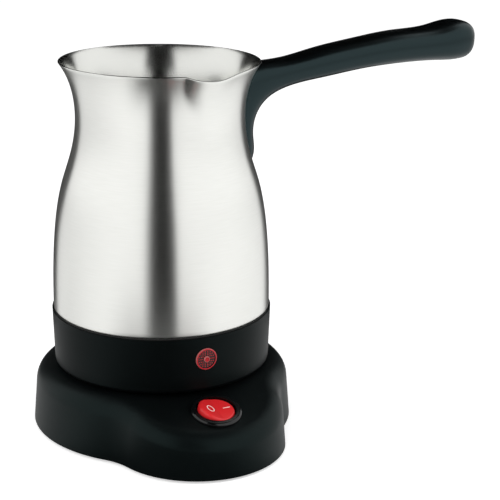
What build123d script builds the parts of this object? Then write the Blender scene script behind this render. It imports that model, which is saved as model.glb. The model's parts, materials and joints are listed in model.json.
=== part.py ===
from build123d import *

import os
from math import atan2, copysign, cos, degrees, radians, sin, sqrt, tan

# Electric Turkish coffee maker: a steel cezve on a cordless base.
# Millimetres, +Z up. The origin is where the pot's axis meets the table.
# +X is the way the handle points, -Y the front with lip, lamp and switch.

os.makedirs("parts", exist_ok=True)

# ---------------------------------------------------------------- sizes

# Base housing, seen from above: a round body and a round lobe at the front
body_r = 61.3
lobe_r = 40.5
lobe_y = -41.4
cove_r = 30.0
base_z = 1.5
deck_z = 29.3
base_wall = 2.6
base_draft = 4.7
top_round = 9.0
slope_y = -40.0
slope_angle = 13.0
crease_r = 60.0

# Base plate, its feet and screws
plate_z = 2.0
plate_t = 2.4
plate_gap = 0.4
foot_r = 6.0
foot_stem_r = 2.2
foot_bulb_r = 3.0
foot_bulb_t = 1.4
foot_bulb_taper = 30.0
rear_foot = (44.0, 22.0)
front_foot = (21.0, -63.0)
rear_screw = (30.0, 38.0)
front_screw = (26.0, -44.0)
base_boss_r = 4.0
base_screw_r = 1.5
base_head_r = 3.0
base_head_t = 1.3
base_screw_reach = 9.0

# Clearances
running_gap = 0.2
screw_gap = 0.05
screw_end_gap = 1.0
seat_gap = 0.1
pot_gap = 0.25
wall_gap = 0.15
lead_gap = 0.3

# Turntable in the base, and the tower that the pot plugs into
tower_r = 15.4
tower_h = 12.2
tower_chamfer = 1.0
disc_r = 24.0
disc_t = 2.9
disc_proud = 0.9
hub_r = 20.7
hub_t = 3.3
ledge_t = 2.7
disc_gap = 0.35
bearing_r = 27.0
seat_ring_r = 40.0
seat_ring_h = 1.2
retainer_r = 23.4
retainer_bore_r = 15.5
retainer_t = 1.6
retainer_screw_ring_r = 18.2
retainer_screw_r = 1.0
retainer_head_r = 1.8
retainer_head_t = 1.3

# Three-pin connector between pot and turntable
pin_ring_r = 9.0
pin_r = 2.0
pin_play = 0.35
sleeve_t = 0.8
sleeve_h = 15.0
pin_recess = 2.5

# Slip rings under the turntable, and the brushes that touch them
ring_t = 1.2
ring_w = 3.0
outer_ring_r = 12.0
inner_ring_r = 6.0
centre_stud_r = 2.0
brush_plate_t = 2.0
brush_plate_drop = 5.0
brush_plate_r = 24.0
brush_ear_ring_r = 29.0
brush_ear_r = 4.0
brush_post_r = 2.8
brush_screw_r = 1.2
brush_screw_reach = 5.0
brush_head_r = 2.2
brush_head_t = 1.4
blade_w = 3.4
blade_t = 0.5
blade_touch = 1.0
blade_out_r = 26.0
blade_knee_r = 15.2

# Cord entry at the back
gland_bore_r = 3.2
gland_r = 5.0
gland_flange_r = 6.8
gland_z = 11.6
gland_in_y = 55.6
gland_l = 7.3
clamp_y = 44.0
clamp_span = 16.0
clamp_l = 24.0
clamp_w = 6.0
clamp_t = 3.4
clamp_saddle_r = 3.0
clamp_boss_r = 3.2
clamp_screw_r = 1.3
clamp_screw_reach = 7.0
clamp_head_r = 2.4
clamp_head_t = 1.5

# Lead from a brush to the switch: points between its two ends
lead_route = ((-7.0, -48.0, 7.5), (-16.0, -36.0, 9.0), (-24.0, -20.0, 15.0))

# Round rocker switch, in a frame that lies on the sloping lobe
switch_y = -61.5
bezel_r = 11.6
bezel_t = 2.0
bezel_round = 1.3
barrel_r = 10.0
barrel_h = 12.5
barrel_floor_t = 1.5
mouth_r = 9.0
rocker_r = 8.4
rocker_pivot_h = 0.6
rocker_crown = 1.0
rocker_skirt = 2.5
rocker_tilt = 10.0
rocker_edge_round = 1.2
trunnion_r = 0.9
trunnion_reach = 9.6
post_w = 5.0
post_h = 3.6
plunger_r = 1.2
plunger_h = 7.6
plunger_nose = 0.96
contact_l = 13.0
contact_w = 4.0
contact_t = 0.6
contact_drop = 7.9
contact_tilt = 6.0
rivet_r = 1.2
rivet_t = 0.8
rivet_x = 5.0
terminal_w = 4.0
terminal_t = 0.8
terminal_out = 5.5
pad_w = 3.0
pad_drop = 9.4

# Steel pot, outside surface: radius and height of the joint and the rim, then
# radius and depth under the rim
joint_r, joint_z = 50.7, 56.9
rim_r, rim_z = 45.8, 171.7
belly_r, belly_drop = 49.4, 79.7
shoulder_r, shoulder_drop = 45.25, 55.4
neck_r, neck_drop = 41.4, 43.2
waist_r, waist_drop = 38.65, 24.7
flare_angle = 37.0
steel_t = 0.8
pot_foot_r = 48.1
pot_floor_z = 51.2
pot_floor_round = 4.0
joint_round = 0.9

# Pouring lip, pressed out of the rim at the front
lip_reach = 6.0
lip_r = 8.5
lip_h = 14.0
lip_root_r = 3.0
lip_root_y = 35.7
lip_blend = 5.0
lip_dip = 1.4
lip_turn = 4.0

# Collar under the pot
collar_z = 30.3
collar_top_r = 51.4
collar_low_r = 50.6
collar_bore_r = 48.3
collar_round = 2.2
seal_t = 0.6
cover_t = 2.25
cover_boss_r = 3.4
cover_boss_h = 6.0
lug_inset = 5.8
lug_w = 10.0
lug_t = 2.5
lug_z = 46.0
stud_r = 2.0
stud_h = 8.6
nut_r = 3.9
nut_t = 2.6
cover_screw_r = 1.2
cover_head_r = 2.4
cover_head_t = 1.2

# Heater under the floor
heat_plate_r = 33.0
heat_plate_bore_r = 17.0
heat_plate_t = 2.5
tube_r = 3.3
tube_ring_r = 25.5
element_gap = 50.0
cold_end_h = 6.0
element_pin_r = 1.2
element_pin_h = 4.0

# Connector cup in the bottom of the pot
cup_r = 18.5
cup_bore_r = 16.5
cup_roof_t = 1.8
cup_headroom = 0.8
cup_flange_r = 24.0
cup_flange_t = 1.4
plug_screw_ring_r = 21.3
plug_screw_r = 0.9
plug_head_r = 1.7
plug_head_t = 1.2
strap_w = 4.6
strap_t = 0.8
strap_z = 37.2
strap_out_r = 26.0
thermostat_r = 6.4
thermostat_cap_r = 6.8
thermostat_cap_t = 1.5
wire_r = 0.8
wire_bend = 1.8
wire_lead_in = 5.4
fuse_r = 1.7
fuse_l = 8.0

# Pilot lamp in the front of the collar
lamp_z = 46.0
lens_r = 5.0
lens_t = 1.2
lens_relief = 0.4
lens_round = 0.3
lens_inset = 1.0
lens_groove_r = 3.9
lens_groove_w = 0.5
lens_dome_r = 1.6
stem_r = 4.2
stem_l = 2.9
lamp_r = 4.1
lamp_l = 11.3
lamp_pin_x = 2.0
lamp_pin_r = 0.5
lamp_pin_l = 1.8
clip_r = 6.2
clip_t = 1.0

# Handle: its upper and lower line at each section, out from the rim and up from it
handle_upper = (
    (-17.8, -41.7),
    (-14.8, -22.7),
    (-2.8, -4.7),
    (14.7, -3.0),
    (34.2, 0.6),
    (56.2, 4.0),
    (78.2, 6.6),
    (98.2, 8.1),
)
handle_lower = (
    (-7.3, -53.7),
    (-0.2, -37.5),
    (5.4, -22.4),
    (18.2, -15.9),
    (36.2, -13.0),
    (57.2, -10.2),
    (78.7, -8.8),
    (98.2, -8.7),
)
handle_root_w = 17.0
handle_grip_w = 24.0
handle_root_out = 8.2
oval_power = 0.75

# Round end of the handle
cap_out = 112.3
cap_up = 2.9
cap_l = 9.2
cap_rise = 7.4
cap_drop = 11.6
cap_turns = (0, 22, 42, 60, 74, 84)

# Steel channel that carries the handle, and its screws
bracket_reach = 4.15
bracket_t = 1.5
bracket_w = 10.0
bracket_drop = 37.2
bracket_h = 26.0
handle_screw_drop = (31.7, 21.7)
handle_screw_r = 1.45
handle_head_r = 2.8
handle_head_t = 1.8
handle_seat_t = 1.9

# ------------------------------------------------------- derived places

plate_top_z = plate_z + plate_t
seat_z = deck_z + seat_ring_h
cover_z = seat_z + pot_gap
cover_top_z = cover_z + cover_t
disc_top_z = deck_z + disc_proud
disc_z = disc_top_z - disc_t
hub_z = disc_z - hub_t
ledge_top_z = disc_z - running_gap
ledge_z = ledge_top_z - ledge_t
tower_top_z = disc_top_z + tower_h
retainer_z = hub_z - retainer_t
ring_z = hub_z - ring_t
brush_plate_top_z = hub_z - brush_plate_drop
brush_plate_z = brush_plate_top_z - brush_plate_t
blade_tip_z = ring_z - running_gap
sleeve_r = pin_r + pin_play + sleeve_t
cup_roof_z = tower_top_z + cup_headroom
cup_top_z = cup_roof_z + cup_roof_t
pin_tip_z = cover_z + pin_recess
strap_in_r = pin_ring_r - pin_r
strap_leg_r = cup_r + seat_gap
lead_z = strap_z + strap_t / 2
heat_plate_z = pot_floor_z - heat_plate_t
tube_z = heat_plate_z - seat_gap - tube_r
cold_end_z = tube_z - cold_end_h
collar_top_z = joint_z - seal_t
collar_mid_r = (collar_bore_r + collar_low_r) / 2
lug_ring_r = collar_bore_r - lug_inset
lug_l = collar_mid_r - lug_ring_r + 2 * stud_r
cover_rib_l = collar_mid_r - lug_ring_r
lens_seat = collar_top_r - lens_inset
clip_seat = sqrt(collar_bore_r**2 - clip_r**2) - seat_gap
lip_tip = rim_r + lip_reach
# Upright plane through the lip: local x runs away from its tip
lip_plane = Plane.YZ.rotated((0, 0, lip_turn))
bracket_x = waist_r + bracket_reach
bracket_root_x = waist_r - bracket_w
bracket_z = rim_z - bracket_drop
handle_head_x = bracket_x + handle_seat_t
handle_screw_z = [rim_z - drop for drop in handle_screw_drop]

front, back = 270, 90
element_azimuths = (front - element_gap / 2, front + element_gap / 2)
earth_azimuth, live_azimuth, neutral_azimuth = 90, 210, 330


def both_sides(*places):
    """The places and their mirror images across the YZ plane"""
    return [(side * x, y) for side in (-1, 1) for x, y in places]


foot_places = both_sides(rear_foot, front_foot)
base_screw_places = both_sides(rear_screw, front_screw)
clamp_places = both_sides((clamp_span / 2, clamp_y))


def slope_drop(y):
    """Height that the lobe's top has lost at y, beside the level deck"""
    return max(0.0, slope_y - y) * tan(radians(slope_angle))


def tilted(plane, angle):
    """The plane turned about its own Y axis"""
    hinge = Axis((0, 0, 0), plane.y_dir)
    return Plane(plane.origin, plane.x_dir.rotate(hinge, angle), plane.z_dir.rotate(hinge, angle))


def side_of(plane):
    """The plane's own XZ plane, for profiles seen from the front"""
    return Plane(plane.origin, plane.x_dir, -plane.y_dir)


# Frames of the switch. Local X runs along the O-I line, local Z out of the lobe.
slope_normal = (0, -sin(radians(slope_angle)), cos(radians(slope_angle)))
switch_plane = Plane((0, switch_y, deck_z - slope_drop(switch_y)), (1, 0, 0), slope_normal)
rocker_plane = tilted(switch_plane.offset(rocker_pivot_h), rocker_tilt)
contact_plane = tilted(switch_plane.offset(-contact_drop), -contact_tilt)


def radial(azimuth):
    """Upright plane through the pot's axis: local x runs outward, local y up"""
    outward = (cos(radians(azimuth)), sin(radians(azimuth)), 0)
    return Plane((0, 0, 0), outward, (outward[1], -outward[0], 0))


def at(radius, azimuth, z):
    """Point at a radius and an azimuth about the pot's axis"""
    return (radius * cos(radians(azimuth)), radius * sin(radians(azimuth)), z)


# --------------------------------------------------------- shared forms


def base_outline(inset):
    """Body and lobe joined by two coves, all moved in by inset"""
    reach = body_r + cove_r
    lobe_reach = lobe_r + cove_r
    cove_y = (lobe_y**2 + reach**2 - lobe_reach**2) / (2 * lobe_y)
    cove_x = sqrt(reach**2 - cove_y**2)
    lobe_turn = degrees(atan2(cove_y - lobe_y, cove_x))
    body_turn = degrees(atan2(cove_y, cove_x))
    with BuildSketch() as plan:
        with BuildLine():
            CenterArc((0, lobe_y), lobe_r - inset, -90, 90 + lobe_turn)
            CenterArc((cove_x, cove_y), cove_r + inset, 180 + lobe_turn, body_turn - lobe_turn)
            CenterArc((0, 0), body_r - inset, body_turn, 90 - body_turn)
            mirror(about=Plane.YZ)
        make_face()
    return plan.sketch


def base_form(inset):
    """Solid outside of the base, moved in by inset: drafted wall, sloping lobe, round top edge"""
    top = deck_z - inset
    far = 2 * body_r
    with BuildPart() as form:
        with BuildSketch(Plane.XY.offset(base_z)):
            add(base_outline(inset))
        extrude(amount=deck_z, taper=base_draft)
        with BuildSketch(Plane.YZ) as side:
            with BuildLine():
                Polyline(
                    (-far, 0),
                    (far, 0),
                    (far, top),
                    (slope_y, top),
                    (-far, top - slope_drop(-far)),
                    close=True,
                )
            make_face()
            fillet(side.vertices().filter_by_position(Axis.X, slope_y, slope_y), crease_r)
        extrude(amount=far, both=True, mode=Mode.INTERSECT)
        tops = form.faces().filter_by(lambda face: face.normal_at().Z > 0.9)
        fillet(tops.edges().filter_by(Axis.X, reverse=True), top_round - inset)
    return form.part


def pot_form(inset):
    """Solid pot with its lip, the surface moved in by inset"""
    rim_inset = inset / cos(radians(flare_angle))
    with BuildPart() as form:
        with BuildSketch(Plane.XZ):
            with BuildLine():
                side = Spline(
                    (joint_r - inset, joint_z + inset),
                    (belly_r - inset, rim_z - belly_drop),
                    (shoulder_r - inset, rim_z - shoulder_drop),
                    (neck_r - inset, rim_z - neck_drop),
                    (waist_r - inset, rim_z - waist_drop),
                    (rim_r - rim_inset, rim_z),
                    tangents=((0, 1), (sin(radians(flare_angle)), cos(radians(flare_angle)))),
                )
                Polyline(
                    side @ 1,
                    (0, rim_z),
                    (0, pot_floor_z + inset),
                    (pot_foot_r - inset, pot_floor_z + inset),
                    (pot_foot_r - inset, joint_z + inset),
                    side @ 0,
                )
            make_face()
        revolve(axis=Axis.Z)
        rings = form.edges().filter_by(GeomType.CIRCLE)
        fillet(rings.sort_by(Axis.Z)[0], pot_floor_round - inset)
        rings = form.edges().filter_by(GeomType.CIRCLE)
        joint = rings.filter_by_position(Axis.Z, joint_z + inset, joint_z + inset)
        fillet(joint.sort_by(SortBy.RADIUS)[-1], joint_round)
        with BuildSketch(Plane.XY.offset(rim_z)):
            with Locations((0, lip_r - lip_tip)):
                Circle(lip_r - inset)
        with BuildSketch(Plane.XY.offset(rim_z - lip_h)):
            with Locations((0, -lip_root_y)):
                Circle(lip_root_r - inset)
        loft()
        lip_zone = Plane.XY.offset(rim_z - lip_h / 2)
        lip_edges = form.edges().filter_by(
            lambda edge: edge.center().Y < -waist_r + lip_r
            and abs(edge.center().Z - lip_zone.origin.Z) < lip_h / 2 + 1
            and edge.center().Z < rim_z - 1
        )
        fillet(lip_edges, lip_blend + inset)
    return form.part.rotate(Axis.Z, lip_turn)


def oval(width, height):
    """Closed oval, fuller than an ellipse"""
    points = []
    for turn in range(0, 360, 30):
        across, along = cos(radians(turn)), sin(radians(turn))
        points.append(
            (
                width / 2 * copysign(abs(across) ** oval_power, across),
                height / 2 * copysign(abs(along) ** oval_power, along),
            )
        )
    with BuildSketch() as outline:
        with BuildLine():
            Spline(points, periodic=True)
        make_face()
    return outline.sketch


def handle_width(out):
    """Width of the handle at this distance out from the rim"""
    share = max(0, out - handle_root_out) / (handle_upper[-1][0] - handle_root_out)
    return handle_root_w + (handle_grip_w - handle_root_w) * share


def wire(points):
    """Round lead through the points, with bends of one radius"""
    with BuildPart() as lead:
        with BuildLine() as route:
            if len(points) == 2:
                Line(*points)
            else:
                FilletPolyline(*points, radius=wire_bend)
        start = Plane(route.line @ 0, z_dir=route.line % 0)
        with BuildSketch(start):
            Circle(wire_r)
        sweep()
    return lead.part


# ------------------------------------------------------------ steel pot

with BuildPart() as pot_shell:
    add(pot_form(0))
    add(pot_form(steel_t), mode=Mode.SUBTRACT)
    # the lip's edge dips towards its tip
    with BuildSketch(lip_plane):
        with BuildLine():
            Polyline(
                (lip_r - rim_r, rim_z),
                (-lip_tip - 1, rim_z - lip_dip),
                (-lip_tip - 1, rim_z + 1),
                (lip_r - rim_r, rim_z + 1),
                close=True,
            )
        make_face()
    extrude(amount=2 * lip_r, both=True, mode=Mode.SUBTRACT)

pot_shell.part.label = "pot_shell"
export_step(pot_shell.part, "parts/pot_shell.step")

with BuildPart() as pot_studs:
    with BuildSketch(Plane.XY.offset(pot_floor_z)):
        with PolarLocations(lug_ring_r, 3, start_angle=back):
            Circle(stud_r)
    extrude(amount=-stud_h)

pot_studs.part.label = "pot_studs"
export_step(pot_studs.part, "parts/pot_studs.step")

# --------------------------------------------------------------- collar

with BuildPart() as pot_collar:
    with BuildSketch(Plane.XZ) as wall:
        with BuildLine():
            Polyline(
                (collar_bore_r, collar_z),
                (collar_low_r, collar_z),
                (collar_top_r, collar_top_z),
                (collar_bore_r, collar_top_z),
                close=True,
            )
        make_face()
        fillet(wall.vertices().group_by(Axis.Y)[0].sort_by(Axis.X)[-1], collar_round)
    revolve(axis=Axis.Z)
    # lugs for the pot's studs
    with BuildSketch(Plane.XY.offset(lug_z)):
        with PolarLocations(lug_ring_r, 3, start_angle=back):
            with Locations((lug_l / 2 - 2 * stud_r, 0)):
                Rectangle(lug_l, lug_w)
        Circle(collar_mid_r, mode=Mode.INTERSECT)
        with PolarLocations(lug_ring_r, 3, start_angle=back):
            Circle(stud_r + running_gap, mode=Mode.SUBTRACT)
    extrude(amount=lug_t)
    # bosses for the cover's screws, each on a rib
    with BuildSketch(Plane.XY.offset(cover_top_z)):
        with PolarLocations(lug_ring_r, 3, start_angle=front):
            Circle(cover_boss_r)
            with Locations((cover_rib_l / 2, 0)):
                Rectangle(cover_rib_l, cover_boss_r)
        Circle(collar_mid_r, mode=Mode.INTERSECT)
        with PolarLocations(lug_ring_r, 3, start_angle=front):
            Circle(cover_screw_r + screw_gap, mode=Mode.SUBTRACT)
    extrude(amount=cover_boss_h)
    # seat and hole of the pilot lamp
    with BuildSketch(Plane.XZ.offset(lens_seat)):
        with Locations((0, lamp_z)):
            Circle(lens_r + running_gap)
    extrude(amount=lens_r, mode=Mode.SUBTRACT)
    with BuildSketch(Plane.XZ.offset(lens_seat)):
        with Locations((0, lamp_z)):
            Circle(stem_r + wall_gap)
    extrude(amount=-lens_r, mode=Mode.SUBTRACT)

pot_collar.part.label = "pot_collar"
export_step(pot_collar.part, "parts/pot_collar.step")

with BuildPart() as pot_seal:
    with BuildSketch(Plane.XY.offset(collar_top_z)):
        Circle(joint_r - seat_gap)
        Circle(collar_bore_r, mode=Mode.SUBTRACT)
    extrude(amount=seal_t)

pot_seal.part.label = "pot_seal"
export_step(pot_seal.part, "parts/pot_seal.step")

with BuildPart() as collar_nuts:
    with BuildSketch(Plane.XY.offset(lug_z)):
        with PolarLocations(lug_ring_r, 3, start_angle=back):
            RegularPolygon(nut_r, 6)
            Circle(stud_r + screw_gap, mode=Mode.SUBTRACT)
    extrude(amount=-nut_t)

collar_nuts.part.label = "collar_nuts"
export_step(collar_nuts.part, "parts/collar_nuts.step")

with BuildPart() as bottom_cover:
    with BuildSketch(Plane.XY.offset(cover_z)):
        Circle(collar_bore_r - running_gap)
        Circle(cup_r + running_gap, mode=Mode.SUBTRACT)
    extrude(amount=cover_t)
    with Locations(Plane.XY.offset(cover_z).rotated((180, 0, 0))):
        with PolarLocations(lug_ring_r, 3, start_angle=-front):
            CounterBoreHole(cover_screw_r + screw_gap, cover_head_r + seat_gap, cover_head_t, cover_t)
    with Locations(Plane.XY.offset(cover_top_z)):
        with PolarLocations(plug_screw_ring_r, 3, start_angle=front):
            Hole(plug_screw_r + screw_gap, cover_t)

bottom_cover.part.label = "bottom_cover"
export_step(bottom_cover.part, "parts/bottom_cover.step")

with BuildPart() as cover_screws:
    with BuildSketch(Plane.XY.offset(cover_z)):
        with PolarLocations(lug_ring_r, 3, start_angle=front):
            Circle(cover_head_r)
    extrude(amount=cover_head_t)
    with BuildSketch(Plane.XY.offset(cover_z)):
        with PolarLocations(lug_ring_r, 3, start_angle=front):
            Circle(cover_screw_r)
    extrude(amount=cover_t + cover_boss_h - screw_end_gap)

cover_screws.part.label = "cover_screws"
export_step(cover_screws.part, "parts/cover_screws.step")

# ------------------------------------------------------- heater of the pot

with BuildPart() as heating_plate:
    with BuildSketch(Plane.XY.offset(heat_plate_z)):
        Circle(heat_plate_r)
        Circle(heat_plate_bore_r, mode=Mode.SUBTRACT)
    extrude(amount=heat_plate_t)
    chamfer(heating_plate.edges().group_by(Axis.Z)[0], heat_plate_t / 4)

heating_plate.part.label = "heating_plate"
export_step(heating_plate.part, "parts/heating_plate.step")

with BuildPart() as heating_element:
    with BuildSketch(radial(element_azimuths[1])):
        with Locations((tube_ring_r, tube_z)):
            Circle(tube_r)
    revolve(axis=Axis.Z, revolution_arc=360 - element_gap)
    for azimuth in element_azimuths:
        with Locations(at(tube_ring_r, azimuth, tube_z)):
            Sphere(tube_r)
        with BuildSketch(Plane.XY.offset(cold_end_z)):
            with Locations(at(tube_ring_r, azimuth, 0)):
                Circle(tube_r)
        extrude(amount=cold_end_h)

heating_element.part.label = "heating_element"
export_step(heating_element.part, "parts/heating_element.step")

with BuildPart() as element_pins:
    with BuildSketch(Plane.XY.offset(cold_end_z)):
        with Locations([at(tube_ring_r, azimuth, 0) for azimuth in element_azimuths]):
            Circle(element_pin_r)
    extrude(amount=-element_pin_h)

element_pins.part.label = "element_pins"
export_step(element_pins.part, "parts/element_pins.step")

with BuildPart() as thermostat:
    with BuildSketch(Plane.XY.offset(cup_top_z)):
        Circle(thermostat_r)
    extrude(amount=pot_floor_z - thermostat_cap_t - cup_top_z)
    with BuildSketch(Plane.XY.offset(pot_floor_z - thermostat_cap_t)):
        Circle(thermostat_cap_r)
    extrude(amount=thermostat_cap_t)

thermostat.part.label = "thermostat"
export_step(thermostat.part, "parts/thermostat.step")

# -------------------------------------------------- connector of the pot

with BuildPart() as pot_plug:
    with BuildSketch(Plane.XZ):
        with BuildLine():
            Polyline(
                (cup_bore_r, cover_z),
                (cup_r, cover_z),
                (cup_r, cover_top_z),
                (cup_flange_r, cover_top_z),
                (cup_flange_r, cover_top_z + cup_flange_t),
                (cup_r, cover_top_z + cup_flange_t),
                (cup_r, cup_top_z),
                (0, cup_top_z),
                (0, cup_roof_z),
                (cup_bore_r, cup_roof_z),
                close=True,
            )
        make_face()
    revolve(axis=Axis.Z)
    with BuildSketch(Plane.XY.offset(cup_roof_z)):
        with PolarLocations(pin_ring_r, 3, start_angle=back):
            Circle(pin_r + screw_gap)
    extrude(amount=cup_roof_t, mode=Mode.SUBTRACT)
    with BuildSketch(Plane.XY.offset(cover_top_z)):
        with PolarLocations(plug_screw_ring_r, 3, start_angle=front):
            Circle(plug_screw_r + screw_gap)
    extrude(amount=cup_flange_t, mode=Mode.SUBTRACT)

pot_plug.part.label = "pot_plug"
export_step(pot_plug.part, "parts/pot_plug.step")

with BuildPart() as plug_pins:
    with BuildSketch(Plane.XY.offset(pin_tip_z)):
        with PolarLocations(pin_ring_r, 3, start_angle=back):
            Circle(pin_r)
    extrude(amount=cup_top_z + strap_t - pin_tip_z)
    chamfer(plug_pins.edges().group_by(Axis.Z)[0], pin_r / 4)

plug_pins.part.label = "plug_pins"
export_step(plug_pins.part, "parts/plug_pins.step")

with BuildPart() as plug_tabs:
    for azimuth in (earth_azimuth, live_azimuth, neutral_azimuth):
        with BuildSketch(radial(azimuth)):
            with BuildLine():
                Polyline(
                    (strap_in_r, cup_top_z),
                    (strap_leg_r, cup_top_z),
                    (strap_leg_r, strap_z),
                    (strap_out_r, strap_z),
                    (strap_out_r, strap_z + strap_t),
                    (strap_leg_r + strap_t, strap_z + strap_t),
                    (strap_leg_r + strap_t, cup_top_z + strap_t),
                    (strap_in_r, cup_top_z + strap_t),
                    close=True,
                )
            make_face()
        extrude(amount=strap_w / 2, both=True)
    with BuildSketch(Plane.XY.offset(cup_top_z)):
        with PolarLocations(pin_ring_r, 3, start_angle=back):
            Circle(pin_r + screw_gap)
    extrude(amount=strap_t, mode=Mode.SUBTRACT)

plug_tabs.part.label = "plug_tabs"
export_step(plug_tabs.part, "parts/plug_tabs.step")

with BuildPart() as plug_screws:
    with BuildSketch(Plane.XY.offset(cover_top_z + cup_flange_t)):
        with PolarLocations(plug_screw_ring_r, 3, start_angle=front):
            Circle(plug_head_r)
    extrude(amount=plug_head_t)
    with BuildSketch(Plane.XY.offset(cover_top_z + cup_flange_t)):
        with PolarLocations(plug_screw_ring_r, 3, start_angle=front):
            Circle(plug_screw_r)
    extrude(amount=-(cup_flange_t + cover_t / 2))

plug_screws.part.label = "plug_screws"
export_step(plug_screws.part, "parts/plug_screws.step")

# ------------------------------------------------------- leads in the pot

tab_reach = strap_w / 2 + lead_gap
live_tab = radial(live_azimuth).from_local_coords((strap_out_r - strap_w / 2, lead_z, -tab_reach))
neutral_tab = radial(neutral_azimuth).from_local_coords((strap_out_r - strap_w / 2, lead_z, tab_reach))
live_pin, neutral_pin = (Vector(at(tube_ring_r, azimuth, lead_z)) for azimuth in element_azimuths)
live_run = (live_pin - live_tab).normalized()
neutral_run = (neutral_pin - neutral_tab).normalized()
pin_reach = element_pin_r + lead_gap
live_end = live_pin - live_run * pin_reach
neutral_end = neutral_pin - neutral_run * pin_reach
fuse_middle = (live_tab + live_end) / 2
fuse_start = fuse_middle - live_run * (fuse_l / 2)
fuse_end = fuse_middle + live_run * (fuse_l / 2)
lamp_pin_y = stem_l + lamp_l + lamp_pin_l / 2 - lens_seat

with BuildPart() as thermal_fuse:
    with BuildSketch(Plane(fuse_start, z_dir=live_run)):
        Circle(fuse_r)
    extrude(amount=fuse_l)
    fillet(thermal_fuse.edges().filter_by(GeomType.CIRCLE), fuse_r / 3)

thermal_fuse.part.label = "thermal_fuse"
export_step(thermal_fuse.part, "parts/thermal_fuse.step")

with BuildPart() as pot_leads:
    add(wire([live_tab, fuse_start]))
    add(wire([fuse_end, live_end]))
    add(wire([neutral_tab, neutral_end]))
    for side, pin in ((-1, live_pin), (1, neutral_pin)):
        start = pin - Vector(0, pin_reach, 0)
        turn = start - Vector(0, wire_lead_in, 0)
        foot = Vector(side * lamp_pin_x, lamp_pin_y, lead_z)
        top = Vector(foot.X, foot.Y, lamp_z - lamp_pin_r - seat_gap)
        add(wire([start, turn, foot, top]))
    earth_tab = Vector(at(strap_out_r + seat_gap, earth_azimuth, lead_z))
    stud_foot = Vector(at(lug_ring_r, earth_azimuth, pot_floor_z - stud_h - seat_gap))
    add(wire([earth_tab, Vector(stud_foot.X, stud_foot.Y, lead_z), stud_foot]))

pot_leads.part.label = "pot_leads"
export_step(pot_leads.part, "parts/pot_leads.step")

# ------------------------------------------------------------ pilot lamp

with BuildPart() as lamp_lens:
    with BuildSketch(Plane.XZ.offset(lens_seat)):
        with Locations((0, lamp_z)):
            Circle(lens_r)
    extrude(amount=lens_t)
    fillet(lamp_lens.faces().sort_by(Axis.Y)[0].edges(), lens_round)
    with BuildSketch(Plane.XZ.offset(lens_seat + lens_t)):
        with Locations((0, lamp_z)):
            Circle(lens_groove_r)
            Circle(lens_groove_r - lens_groove_w, mode=Mode.SUBTRACT)
    extrude(amount=-lens_relief, mode=Mode.SUBTRACT)
    with BuildSketch(Plane.XZ.offset(lens_seat + lens_t)):
        with Locations((0, lamp_z)):
            Circle(lens_dome_r)
    extrude(amount=lens_relief)
    with BuildSketch(Plane.XZ.offset(lens_seat)):
        with Locations((0, lamp_z)):
            Circle(stem_r)
    extrude(amount=-stem_l)

lamp_lens.part.label = "lamp_lens"
export_step(lamp_lens.part, "parts/lamp_lens.step")

with BuildPart() as lamp_body:
    with BuildSketch(Plane.XZ.offset(lens_seat - stem_l)):
        with Locations((0, lamp_z)):
            Circle(lamp_r)
    extrude(amount=-lamp_l)
    with BuildSketch(Plane.XZ.offset(lens_seat - stem_l - lamp_l)):
        with Locations((-lamp_pin_x, lamp_z), (lamp_pin_x, lamp_z)):
            Circle(lamp_pin_r)
    extrude(amount=-lamp_pin_l)

lamp_body.part.label = "lamp_body"
export_step(lamp_body.part, "parts/lamp_body.step")

with BuildPart() as lamp_clip:
    with BuildSketch(Plane.XZ.offset(clip_seat)):
        with Locations((0, lamp_z)):
            Circle(clip_r)
            Circle(stem_r + screw_gap, mode=Mode.SUBTRACT)
    extrude(amount=-clip_t)

lamp_clip.part.label = "lamp_clip"
export_step(lamp_clip.part, "parts/lamp_clip.step")

# ---------------------------------------------------------------- handle

with BuildPart() as handle:
    for (top_out, top_up), (low_out, low_up) in zip(handle_upper, handle_lower):
        upper = Vector(rim_r + top_out, 0, rim_z + top_up)
        lower = Vector(rim_r + low_out, 0, rim_z + low_up)
        normal = Vector(0, 1, 0).cross(upper - lower)
        with BuildSketch(Plane((upper + lower) / 2, x_dir=(0, 1, 0), z_dir=normal)):
            add(oval(handle_width((top_out + low_out) / 2), (upper - lower).length))
    for turn in cap_turns:
        shrink = cos(radians(turn))
        cap_x = rim_r + cap_out + cap_l * sin(radians(turn))
        cap_z = rim_z + cap_up + (cap_rise - cap_drop) / 2 * shrink
        with BuildSketch(Plane((cap_x, 0, cap_z), x_dir=(0, 1, 0), z_dir=(1, 0, 0))):
            add(oval(handle_grip_w * shrink, (cap_rise + cap_drop) * shrink))
    loft()
    add(pot_form(-seat_gap), mode=Mode.SUBTRACT)
    # pocket over the bracket
    with BuildSketch(Plane.YZ.offset(bracket_root_x)):
        with Locations((0, bracket_z + bracket_h / 2)):
            Rectangle(bracket_w + 2 * running_gap, bracket_h + 2 * running_gap)
    extrude(amount=bracket_x + running_gap - bracket_root_x, mode=Mode.SUBTRACT)
    # screw holes from the outside of the tail
    with BuildSketch(Plane.YZ.offset(bracket_x)):
        with Locations([(0, height) for height in handle_screw_z]):
            Circle(handle_screw_r + running_gap)
    extrude(amount=handle_head_x - bracket_x, mode=Mode.SUBTRACT)
    with BuildSketch(Plane.YZ.offset(handle_head_x)):
        with Locations([(0, height) for height in handle_screw_z]):
            Circle(handle_head_r + running_gap)
    extrude(amount=handle_root_w, mode=Mode.SUBTRACT)

handle.part.label = "handle"
export_step(handle.part, "parts/handle.step")

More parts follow.
